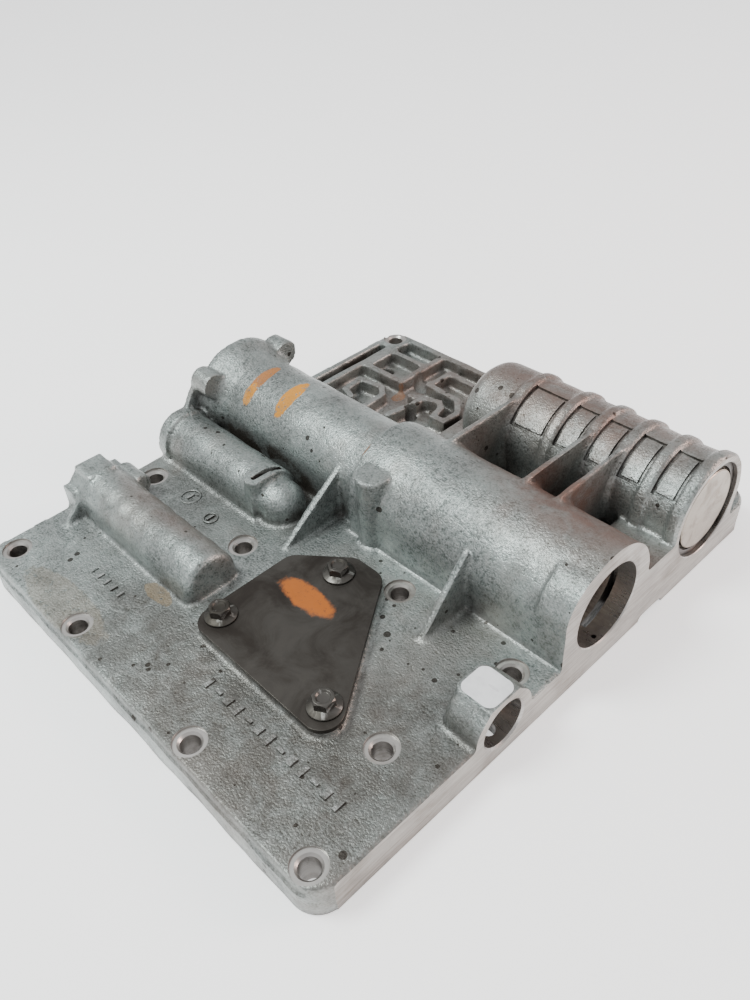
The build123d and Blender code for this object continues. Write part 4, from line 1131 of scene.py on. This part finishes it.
    def marks(self) -> list[bpy.types.Object]:
        """Plain raised bars and rings where a foundry puts its marks."""
        made = []
        low, top = PLATE_TOP - MM, PLATE_TOP + 0.75 * MM
        for number in range(self.long_row):
            x = (22 + 5.9 * number) * MM
            half, reach = self.bar_halves[number % len(self.bar_halves)]
            y = -100.2 * MM
            made.append(slab((x - half * MM, y - reach * MM, low), (x + half * MM, y + reach * MM, top)))
        for number in range(self.short_row):
            x = (-63 + 5.2 * number) * MM
            made.append(slab((x - 0.5 * MM, -100.8 * MM, low), (x + 0.5 * MM, -97.4 * MM, top)))
        for x, y, radius in ((-73.0, -43.0, 4.6), (-54.0, -45.5, 3.2)):
            nothing_selected()
            bpy.ops.mesh.primitive_torus_add(
                location=(x * MM, y * MM, PLATE_TOP + 0.15 * MM),
                major_radius=radius * MM,
                minor_radius=0.5 * MM,
                major_segments=40,
                minor_segments=10,
            )
            made.append(settle(named("dial")))
            made.append(slab(((x - 0.5) * MM, (y - 2) * MM, low), ((x + 0.5) * MM, (y + 2) * MM, top)))
        return made

    def relief(self, obj: bpy.types.Object, metal: bpy.types.Material) -> None:
        """Add the crisp small relief: grooves round the panels and the foundry's bars."""
        boolean(obj, paint(together(self.grooves(), "groove_tools"), metal))
        boolean(obj, paint(together(self.marks(), "mark_bars"), metal), "UNION")

    def skin(self, obj: bpy.types.Object) -> None:
        """Form one soft skin over the blank, with the slow waviness of a sand casting."""
        finish_with(obj, "REMESH", mode="VOXEL", voxel_size=self.voxel, adaptivity=0.0)
        finish_with(obj, "SMOOTH", factor=0.5, iterations=self.soften)
        self.waver_skin(obj)
        share = self.triangles / max(1, 2 * len(obj.data.polygons))
        finish_with(obj, "DECIMATE", decimate_type="COLLAPSE", ratio=min(1.0, share))

    def waver_skin(self, obj: bpy.types.Object) -> None:
        """Move the skin in and out a little, along its normals."""
        normals = [v.normal.copy() for v in obj.data.vertices]
        for vertex, normal in zip(obj.data.vertices, normals):
            spot = vertex.co
            wave = noise.noise(spot / self.waver_size) * self.waver
            if abs(spot.y - REGULATOR.y) < 13 * MM and spot.z > 20 * MM and -84 * MM < spot.x < -22 * MM:
                wave += self.wave_height * math.sin(TAU * spot.x / self.wave_pitch)
            vertex.co += normal * wave
            if spot.z > self.ledge_height:
                if spot.y < CAD_BOX[0].y + 1.5 * MM:
                    vertex.co.y += self.ledge
                if abs(spot.y) > 50 * MM and spot.x < CAD_BOX[0].x + MM and spot.z < PLATE_TOP + MM:
                    vertex.co.x += self.ledge

    def mill(self, obj: bpy.types.Object, metal: bpy.types.Material) -> None:
        """Mill the two flat faces back to size."""
        lo, hi = CAD_BOX
        reach = 20 * MM
        below = slab((lo.x - reach, lo.y - reach, -reach), (hi.x + reach, hi.y + reach, 0))
        boolean(obj, paint(below, metal))
        beyond = slab((hi.x, lo.y - reach, -reach), (hi.x + reach, hi.y + reach, hi.z + reach))
        boolean(obj, paint(beyond, metal))

    def bore(self, obj: bpy.types.Object, metal: bpy.types.Material) -> None:
        """Bore every axis out."""
        for bore, profile in self.bore_profiles():
            boolean(obj, paint(turned("bore_tool", bore, profile), metal))

    def drill(self, obj: bpy.types.Object, metal: bpy.types.Material) -> None:
        """Drill, chamfer and spot-face the bolt holes."""
        for x, y in self.holes():
            axis = Bore(0, 1, 0, 0)
            spot = PLATE_TOP - self.ring_depth
            up = [
                (-5 * MM, 0),
                (-5 * MM, self.hole_radius),
                (spot - self.chamfer, self.hole_radius),
                (spot, self.hole_radius + self.chamfer),
                (spot, self.ring_radius),
                (spot + 7 * MM, self.ring_radius + 0.8 * MM),
                (spot + 7 * MM, 0),
            ]
            tool = turned("drill", axis, [(-h, r) for h, r in up], 48)
            tool.data.transform(Matrix.Translation((x, y, 0)) @ Matrix.Rotation(-math.pi / 2, 4, "Y"))
            boolean(obj, paint(tool, metal))

    def slots(self, obj: bpy.types.Object, metal: bpy.types.Material) -> None:
        """Cut the retainer's slot, the drain slot and the small drilled ways."""
        slot_x = BACK_X + self.retainer_depth
        retainer = slab((slot_x - self.retainer_width, -28 * MM, 12 * MM), (slot_x, -12 * MM, 50 * MM))
        boolean(obj, paint(retainer, metal))
        drain = slab((100.2 * MM, 17.8 * MM, 4 * MM), (102.8 * MM, 38 * MM, 29.7 * MM))
        boolean(obj, paint(drain, metal))
        way = post(107.8 * MM, 16.3 * MM, self.drain_radius, 6 * MM, 20 * MM, 24)
        boolean(obj, paint(way, metal))
        feed_x = BACK_X + self.feed_depth
        for bore in (REGULATOR, SHIFT):
            way = post(feed_x, bore.y, self.feed_radius, self.start_below, bore.z, 24)
            boolean(obj, paint(way, metal))
        way = post(103.5 * MM, PORT.y, self.port_feed_radius, self.start_below, PORT.z, 32)
        boolean(obj, paint(way, metal))

    def build(self) -> bpy.types.Object:
        """Make the piece and dress it."""
        obj = self.blank()
        self.skin(obj)
        metal = MachinedFinish("milled_face").material()
        bored = MachinedFinish("bored_wall", metal=(0.40, 0.38, 0.36), roughness=0.28, grime_and_shade=0.9).material()
        cast = CastFinish("sand_cast", patches=CAST_PATCHES, stains_and_reflections=CAST_STAINS_AND_REFLECTIONS).material()
        spot_faced = MachinedFinish("spot_face", metal=(0.44, 0.42, 0.40), grime_and_shade=0.5).material()
        paint(obj, cast)
        self.relief(obj, cast)
        self.mill(obj, metal)
        self.bore(obj, bored)
        self.drill(obj, spot_faced)
        self.slots(obj, bored)
        take(obj)
        bpy.ops.object.shade_smooth_by_angle(angle=math.radians(32))
        return place(obj, Body.CASTING, "cast_aluminium", "valve_body_casting")


# ================================================================ the cover
@dataclass
class FilterCover:
    """The stamped cover plate with its gasket and flange bolts."""

    across_flats: float = 8.0 * MM
    flange_radius: float = 6.7 * MM
    flange_height: float = 1.3 * MM
    head_height: float = 5.2 * MM
    shank_radius: float = 2.95 * MM
    shank_length: float = 14 * MM
    seat: float = 20.4 * MM
    places: tuple[tuple[float, float], ...] = (
        (1.7 * MM, -79.2 * MM),
        (18.4 * MM, -32.6 * MM),
        (63.2 * MM, -79.6 * MM),
    )

    def plate(self) -> bpy.types.Object:
        """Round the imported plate's edges, as stamped sheet has."""
        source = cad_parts["filter_cover_plate"]
        obj = duplicate(source, "cover_sheet", Vector())
        obj.parent = None
        obj.matrix_world = Matrix.Identity(4)
        for key in list(obj.keys()):
            del obj[key]
        mend(obj, 0.005 * MM, turn_out=False)
        take(obj)
        bpy.ops.object.mode_set(mode="EDIT")
        bpy.ops.mesh.select_all(action="SELECT")
        bpy.ops.mesh.dissolve_limited(angle_limit=math.radians(1))
        bpy.ops.object.mode_set(mode="OBJECT")
        rounded(obj, 0.45 * MM, 3, 60)
        finish_with(obj, "WEIGHTED_NORMAL", keep_sharp=True)
        return obj

    def bolt(self) -> bpy.types.Object:
        """Model the first bolt: hexagon with a dished top, flange and shank."""
        x, y = self.places[0]
        axis = Bore(0, 1, 0, 0)
        top = self.head_height
        head = post(x, y, self.across_flats / 2 / math.cos(math.pi / 6), self.seat, self.seat + top, 6)
        corner = self.across_flats / 2 / math.cos(math.pi / 6)
        crown = [
            (0, 0),
            (0, corner + MM),
            (top - 1.1 * MM, corner + 0.3 * MM),
            (top, corner - 0.75 * MM),
            (top, self.across_flats / 2 - 1.1 * MM),
            (top - 0.7 * MM, self.across_flats / 2 - 1.7 * MM),
            (top - 0.7 * MM, 0),
        ]
        shaper = turned("crown", axis, [(-h, r) for h, r in crown], 48)
        up = Matrix.Translation((x, y, self.seat)) @ Matrix.Rotation(-math.pi / 2, 4, "Y")
        shaper.data.transform(up)
        boolean(head, shaper, "INTERSECT", Solver.EXACT)
        body = [
            (-self.shank_length, 0),
            (-self.shank_length, self.shank_radius - 0.5 * MM),
            (-self.shank_length + 0.6 * MM, self.shank_radius),
            (0, self.shank_radius),
            (0, self.flange_radius - 0.2 * MM),
            (0.35 * MM, self.flange_radius),
            (0.75 * MM, self.flange_radius - 0.1 * MM),
            (self.flange_height + 0.5 * MM, self.across_flats / 2 + 0.2 * MM),
            (self.flange_height + 0.5 * MM, 0),
        ]
        flange = turned("flange", axis, [(-h, r) for h, r in body], 48)
        flange.data.transform(up)
        boolean(head, flange, "UNION", Solver.EXACT)
        head.name = "flange_bolt_1"
        head.data.name = head.name
        rounded(head, 0.18 * MM, 2, 30)
        return head

    def build(self) -> list[bpy.types.Object]:
        """Make the pieces and dress them."""
        blob = spot_at(18.5, -50.0, 20.4, 14.0, 5.6, 6, (0.37, 0.095, 0.002), 0.97, 0.16)
        steel = SteelFinish("oily_sheet", wear=0.0, patches=(blob,)).material()
        sheet = place(paint(self.plate(), steel), Body.CASTING, "cover_steel", "filter_cover_plate")
        metal, shade = (0.105, 0.098, 0.09), (0.045, 0.04, 0.034)
        dark = SteelFinish("dark_bolt", metal=metal, dark=shade, roughness=0.34)
        first = paint(self.bolt(), dark.material())
        x0, y0 = self.places[0]
        bolts = [first]
        for number, (x, y) in enumerate(self.places[1:], 2):
            bolts.append(duplicate(first, f"flange_bolt_{number}", Vector((x - x0, y - y0, 0))))
        for obj in bolts:
            place(obj, Body.CASTING, "bolt_steel", "cover_flange_bolts")
        board = SoftFinish("gasket_board", (0.075, 0.065, 0.055), (0.12, 0.10, 0.08), 0.7)
        paint_node("cover_gasket", board.material())
        return [sheet, *bolts]


def paint_node(name: str, material: bpy.types.Material) -> None:
    """Give a carried-over node a better material."""
    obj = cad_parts[name]
    for slot in obj.material_slots:
        slot.material = material
    LOG.info("%s: material %s", name, material.name)


# ================================================================ springs and stacks
@dataclass(frozen=True)
class SpringSizes:
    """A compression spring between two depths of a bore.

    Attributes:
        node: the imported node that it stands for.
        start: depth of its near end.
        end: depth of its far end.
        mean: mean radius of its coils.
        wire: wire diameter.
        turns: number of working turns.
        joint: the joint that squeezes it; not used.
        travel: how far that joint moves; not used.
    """

    node: str
    start: float
    end: float
    mean: float
    wire: float
    turns: float
    joint: str
    travel: float


def coil_points(bore: Bore, sizes: SpringSizes) -> list[Point]:
    """Points along a spring with one closed turn at each end."""
    per_turn = 20
    total = sizes.turns + 2
    near = sizes.start + sizes.wire / 2
    length = sizes.end - sizes.start - sizes.wire
    closed = sizes.wire * 1.04
    middle = length - 2 * closed
    points = []
    for step in range(int(total * per_turn) + 1):
        turn = step / per_turn
        if turn < 1:
            along = closed * turn
        elif turn > total - 1:
            along = length - closed * (total - turn)
        else:
            along = closed + middle * (turn - 1) / sizes.turns
        angle = TAU * turn
        x = bore.at(near + along)
        points.append((x, bore.y + sizes.mean * math.cos(angle), bore.z + sizes.mean * math.sin(angle)))
    return points


def spring(bore: Bore, sizes: SpringSizes, material: bpy.types.Material) -> bpy.types.Object:
    """Wind a spring and hang it on the casting.

    Args:
        bore: the bore that it sits in.
        sizes: its measures.
        material: its finish.

    Returns:
        The finished spring.
    """
    nothing_selected()
    curve = bpy.data.curves.new("wire", "CURVE")
    curve.dimensions = "3D"
    curve.bevel_depth = sizes.wire / 2
    curve.bevel_resolution = 3
    curve.use_fill_caps = True
    line = curve.splines.new("POLY")
    points = coil_points(bore, sizes)
    line.points.add(len(points) - 1)
    for point, place_at in zip(line.points, points):
        point.co = (*place_at, 1.0)
    obj = bpy.data.objects.new("coil_" + sizes.node, curve)
    bpy.context.collection.objects.link(obj)
    take(obj)
    bpy.ops.object.convert(target="MESH")
    obj = mend(bpy.context.object)
    take(obj)
    bpy.ops.object.shade_smooth_by_angle(angle=math.radians(50))
    paint(obj, material)
    place(obj, Body.CASTING, "spring_steel", sizes.node)
    tuple(bore.centre(sizes.end))
    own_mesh(obj)
    return obj


@dataclass
class RetainingRing:
    """An internal retaining ring with two eyelets for its pliers."""

    name: str
    node: str
    bore: Bore
    radius: float
    depth: float
    width: float = 1.6 * MM
    groove: float = 1.5 * MM
    inward: float = 2.4 * MM
    gap: float = 8.0 * MM
    eyelet: float = 2.6 * MM

    def build(self, material: bpy.types.Material) -> bpy.types.Object:
        """Make the piece and dress it."""
        start = self.depth + 0.1 * MM
        end = start + self.width
        outer = self.radius + self.groove
        inner = self.radius - self.inward
        section = [(start, inner), (start, outer), (end, outer), (end, inner), (start, inner)]
        ring = turned(self.name, self.bore, section)
        top = self.bore.z
        x_near, x_far = sorted((self.bore.at(start - MM), self.bore.at(end + MM)))
        half = self.gap / 2
        opening = slab((x_near, self.bore.y - half, top), (x_far, self.bore.y + half, top + outer + MM))
        boolean(ring, opening, solver=Solver.EXACT)
        middle = self.radius - self.eyelet * 0.8
        for side in (-1, 1):
            angle = math.pi / 2 + side * (half / middle + 0.06)
            y = self.bore.y + middle * math.cos(angle)
            z = self.bore.z + middle * math.sin(angle)
            spot = Bore(self.bore.x, self.bore.side, y, z)
            boolean(ring, bar(spot, self.eyelet, start, end, 32), "UNION", Solver.EXACT)
            boolean(ring, bar(spot, self.eyelet * 0.42, start - MM, end + MM, 24), solver=Solver.EXACT)
        rounded(ring, 0.15 * MM, 2, 40)
        paint(ring, material)
        return place(ring, Body.CASTING, "ring_steel", self.node)


@dataclass
class AccumulatorStack:
    """Everything inside one of the three large bores, from the ring at its mouth to its springs."""

    prefix: str
    bore: Bore
    radius: float
    ring_depth: float
    plug: tuple[tuple[float, float], ...]
    springs: tuple[SpringSizes, ...]

    def build(
        self, steel: bpy.types.Material, blued: bpy.types.Material, rubber: bpy.types.Material
    ) -> None:
        """Make the pieces and dress them.

        Args:
            steel: the springs' finish.
            blued: the ring's finish.
            rubber: the seals' finish.
        """
        names = (f"{self.prefix}_eyelet_ring", f"{self.prefix}_snap_ring")
        RetainingRing(*names, self.bore, self.radius, self.ring_depth).build(blued)
        plug = turned(f"{self.prefix}_turned_plug", self.bore, [(d * MM, r * MM) for d, r in self.plug])
        rounded(plug, 0.2 * MM, 2, 50)
        paint(plug, TurnedFinish(f"{self.prefix}_plug_metal", self.bore).material())
        place(plug, Body.CASTING, "turned_aluminium", f"{self.prefix}_bore_plug")
        for sizes in self.springs:
            spring(self.bore, sizes, steel)
        colours = ((0.66, 0.66, 0.66), (0.42, 0.38, 0.34))
        bright = TurnedFinish(f"{self.prefix}_piston_metal", self.bore, *colours)
        paint_node(f"{self.prefix}_accumulator_piston", bright.material())
        paint_node(f"{self.prefix}_piston_seal", rubber)
        paint_node(f"{self.prefix}_plug_o_ring", rubber)


def plug_profile(start: float, end: float, radius: float, dish: float) -> tuple[tuple[float, float], ...]:
    """Depth and radius of a plug with a dished outer face and an O-ring groove, in millimetres."""
    r = radius - 0.05
    mid = (start + end) / 2
    floor = r - 1.275
    outside = (
        (start + 1.2, 0),
        (start + 1.2, dish - 1.5),
        (start, dish),
        (start, r - 0.5),
        (start + 0.5, r),
    )
    groove = ((mid - 0.9, r), (mid - 0.9, floor), (mid + 0.9, floor), (mid + 0.9, r))
    return outside + groove + ((end, r), (end, 0))


def ribbed_plug_profile() -> tuple[tuple[float, float], ...]:
    """Depth and radius of the ribbed barrel's flanged plug, in millimetres."""
    mouth, bore, face = 21.25, 18.45, 17.7
    front = ((1.2, 0), (1.2, face - 0.4), (1.6, face), (3.8, face), (3.8, mouth), (6.2, mouth), (6.2, bore))
    groove = ((11.3, bore), (11.3, bore - 1.275), (13.1, bore - 1.275), (13.1, bore))
    return front + groove + ((18.2, bore), (18.2, 0))


def accumulator_spring(name: str, joint: str, *sizes: float) -> SpringSizes:
    """Sizes of an accumulator's spring.

    Args:
        name: its node.
        joint: the joint that shortens it.
        *sizes: near depth, far depth, mean radius, wire, turns and travel, in millimetres.

    Returns:
        The spring's sizes in metres.
    """
    near, far, radius, wire, turns, travel = sizes
    return SpringSizes(name, near * MM, far * MM, radius * MM, wire * MM, int(turns), joint, travel * MM)


def accumulator_stacks() -> list[AccumulatorStack]:
    """The three stacks with their sizes."""
    front = accumulator_spring(
        "front_accumulator_spring", "front_piston_slide", 35.3, 102, 10.4, 3.0, 6, 14
    )
    rear = accumulator_spring("rear_accumulator_spring", "rear_piston_slide", 24.1, 99.5, 8.6, 2.4, 8, 12)
    outer = accumulator_spring("ribbed_outer_spring", "ribbed_piston_slide", 27.5, 108, 11.2, 2.8, 7, 16)
    inner = accumulator_spring("ribbed_inner_spring", "ribbed_piston_slide", 27.5, 108, 6.4, 1.8, 11, 16)
    front_plug = plug_profile(16.0, 26.0, 18.2, 12.0)
    rear_plug = plug_profile(4.8, 14.8, 16.0, 10.5)
    return [
        AccumulatorStack("front", FRONT, 18.2 * MM, 14.2 * MM, front_plug, (front,)),
        AccumulatorStack("rear", REAR, 16.0 * MM, 3.0 * MM, rear_plug, (rear,)),
        AccumulatorStack("ribbed", RIBBED, 21.3 * MM, 2.0 * MM, ribbed_plug_profile(), (outer, inner)),
    ]


@dataclass
class SpoolStack:
    """A spool valve with its spring, its plug and the plug's pin."""

    prefix: str
    spool: str
    bore: Bore
    sizes: SpringSizes

    def build(self, steel: bpy.types.Material, blued: bpy.types.Material) -> None:
        """Make the pieces and dress them.

        Args:
            steel: the spring's finish.
            blued: the pin's finish.
        """
        spring(self.bore, self.sizes, steel)
        colours = ((0.58, 0.58, 0.59), (0.40, 0.38, 0.36))
        ground = TurnedFinish(f"{self.prefix}_spool_metal", self.bore, *colours, 0.22)
        paint_node(self.spool, ground.material())
        paint_node(f"{self.prefix}_plug", TurnedFinish(f"{self.prefix}_plug_metal", self.bore).material())
        paint_node(f"{self.prefix}_plug_pin", blued)


def spool_stacks() -> list[SpoolStack]:
    """The two spool valves with their sizes."""
    regulator = SpringSizes(
        "regulator_spring", 57.3 * MM, 88 * MM, 5.6 * MM, 1.4 * MM, 8, "regulator_spool_slide", 6 * MM
    )
    shift = SpringSizes(
        "shift_valve_spring", 47.3 * MM, 68.25 * MM, 5.2 * MM, 1.2 * MM, 6, "shift_spool_slide", 5 * MM
    )
    return [
        SpoolStack("regulator", "regulator_spool", REGULATOR, regulator),
        SpoolStack("shift_valve", "shift_valve_spool", SHIFT, shift),
    ]


# ================================================================ the label
@dataclass
class InspectionLabel:
    """A small paper label stuck over the port boss."""

    length: float = 15.0 * MM
    width: float = 14.2 * MM
    thickness: float = 0.25 * MM
    height: float = 29.0 * MM
    corner: float = 3.5 * MM

    def build(self) -> bpy.types.Object:
        """Make the piece and dress it."""
        nothing_selected()
        x, y = FACE_X - 8.2 * MM, PORT.y
        bpy.ops.mesh.primitive_plane_add(size=1, location=(x, y, self.height + 0.14 * MM))
        obj = named("paper_label")
        obj.scale = (self.length, self.width, 1)
        settle(obj)
        bpy.ops.object.mode_set(mode="EDIT")
        bpy.ops.mesh.select_all(action="SELECT")
        bpy.ops.mesh.bevel(offset=self.corner, segments=6, affect="VERTICES")
        bpy.ops.mesh.select_all(action="SELECT")
        bpy.ops.mesh.extrude_region_move(TRANSFORM_OT_translate={"value": (0, 0, self.thickness * 0.8)})
        bpy.ops.object.mode_set(mode="OBJECT")
        mend(obj)
        rounded(obj, 0.06 * MM, 1, 50)
        centre = (x + 2 * MM, y + MM, self.height)
        smudge = Patch(centre, (2.6 * MM, 0.6 * MM, 3 * MM), (0.45, 0.45, 0.47), 0.3)
        white, shade = (0.80, 0.81, 0.83), (0.72, 0.73, 0.75)
        paper = SoftFinish("label_stock", white, shade, 0.5, 220.0, 0.25, (smudge,))
        paint(obj, paper.material())
        return place(obj, Body.CASTING, "label_paper", "inspection_label")


# ================================================================ studio
@dataclass
class Studio:
    """Camera, pale floor and soft lights."""

    place: Point = (0.2210, -0.1865, 0.2705)
    right: Point = (0.69103653, 0.72047817, -0.05813547)
    down: Point = (0.43387203, -0.47777827, -0.76386058)
    forward: Point = (-0.57812073, 0.50263221, -0.64275756)
    lens: float = 31.675

    def camera(self) -> None:
        """Set the camera."""
        data = bpy.data.cameras.new("view")
        data.lens = self.lens
        data.sensor_width = 36.0
        data.clip_start = 0.01
        obj = bpy.data.objects.new("view", data)
        bpy.context.collection.objects.link(obj)
        columns = [Vector(self.right), -Vector(self.down), -Vector(self.forward)]
        turn = Matrix([list(row) for row in zip(*columns)]).to_4x4()
        obj.matrix_world = Matrix.Translation(self.place) @ turn
        bpy.context.scene.camera = obj

    def light(self, name: str, at: Point, size: float, watts: float, colour: Colour) -> None:
        """Add one soft area light aimed at the middle of the body."""
        data = bpy.data.lights.new(name, "AREA")
        data.shape = "DISK"
        data.size = size
        data.energy = watts
        data.color = colour
        obj = bpy.data.objects.new(name, data)
        bpy.context.collection.objects.link(obj)
        obj.location = at
        obj.rotation_euler = (Vector((0, 0, 0.02)) - Vector(at)).to_track_quat("-Z", "Y").to_euler()

    def floor(self) -> None:
        """Lay the floor."""
        nothing_selected()
        bpy.ops.mesh.primitive_plane_add(size=8, location=(0, 0, -0.2 * MM))
        obj = named("studio_floor")
        material, sheet, shader = blank_material("pale_floor")
        tone = sheet.ramp(sheet.clouds(sheet.where(), 3.0), 0.3, 0.7)
        sheet.feed(shader.inputs["Base Color"], sheet.blend(tone, (0.92, 0.92, 0.92), (0.94, 0.94, 0.94)))
        shader.inputs["Roughness"].default_value = 0.9
        shader.inputs["Emission Color"].default_value = (1.0, 1.0, 1.0, 1.0)
        shader.inputs["Emission Strength"].default_value = 0.9
        paint(obj, material)

    def world(self) -> None:
        """Light the room evenly."""
        world = bpy.data.worlds.new("studio")
        world.use_nodes = True
        background = world.node_tree.nodes["Background"]
        background.inputs[0].default_value = (0.97, 0.985, 1.0, 1.0)
        background.inputs[1].default_value = 0.9
        bpy.context.scene.world = world

    def build(self) -> None:
        """Set the stage."""
        self.camera()
        self.world()
        self.floor()
        self.light("key", (-0.35, -0.45, 0.95), 0.45, 11.0, (0.93, 1.0, 0.98))
        self.light("rim", (0.75, 0.85, 0.55), 0.5, 8.0, (1.0, 0.74, 0.66))


def main() -> None:
    """Build every sub-assembly in order."""
    logging.basicConfig(level=logging.INFO, format="%(message)s")
    wire_colours = ((0.30, 0.30, 0.31), (0.16, 0.155, 0.15), (0.6, 0.6, 0.6))
    ring_colours = ((0.11, 0.10, 0.095), (0.05, 0.045, 0.04), (0.36, 0.34, 0.32))
    steel = SteelFinish("spring_wire", *wire_colours, 0.3).material()
    blued = SteelFinish("blued_ring", *ring_colours, 0.34).material()
    rubber = SoftFinish("seal_rubber", (0.018, 0.018, 0.019), (0.03, 0.03, 0.03), 0.5, 900.0).material()
    Casting().build()
    FilterCover().build()
    for stack in accumulator_stacks():
        stack.build(steel, blued, rubber)
    for valve in spool_stacks():
        valve.build(steel, blued)
    paint_node("shift_spring_retainer", SteelFinish("retainer_sheet").material())
    InspectionLabel().build()
    Studio().build()


if __name__ == "__main__":
    main()
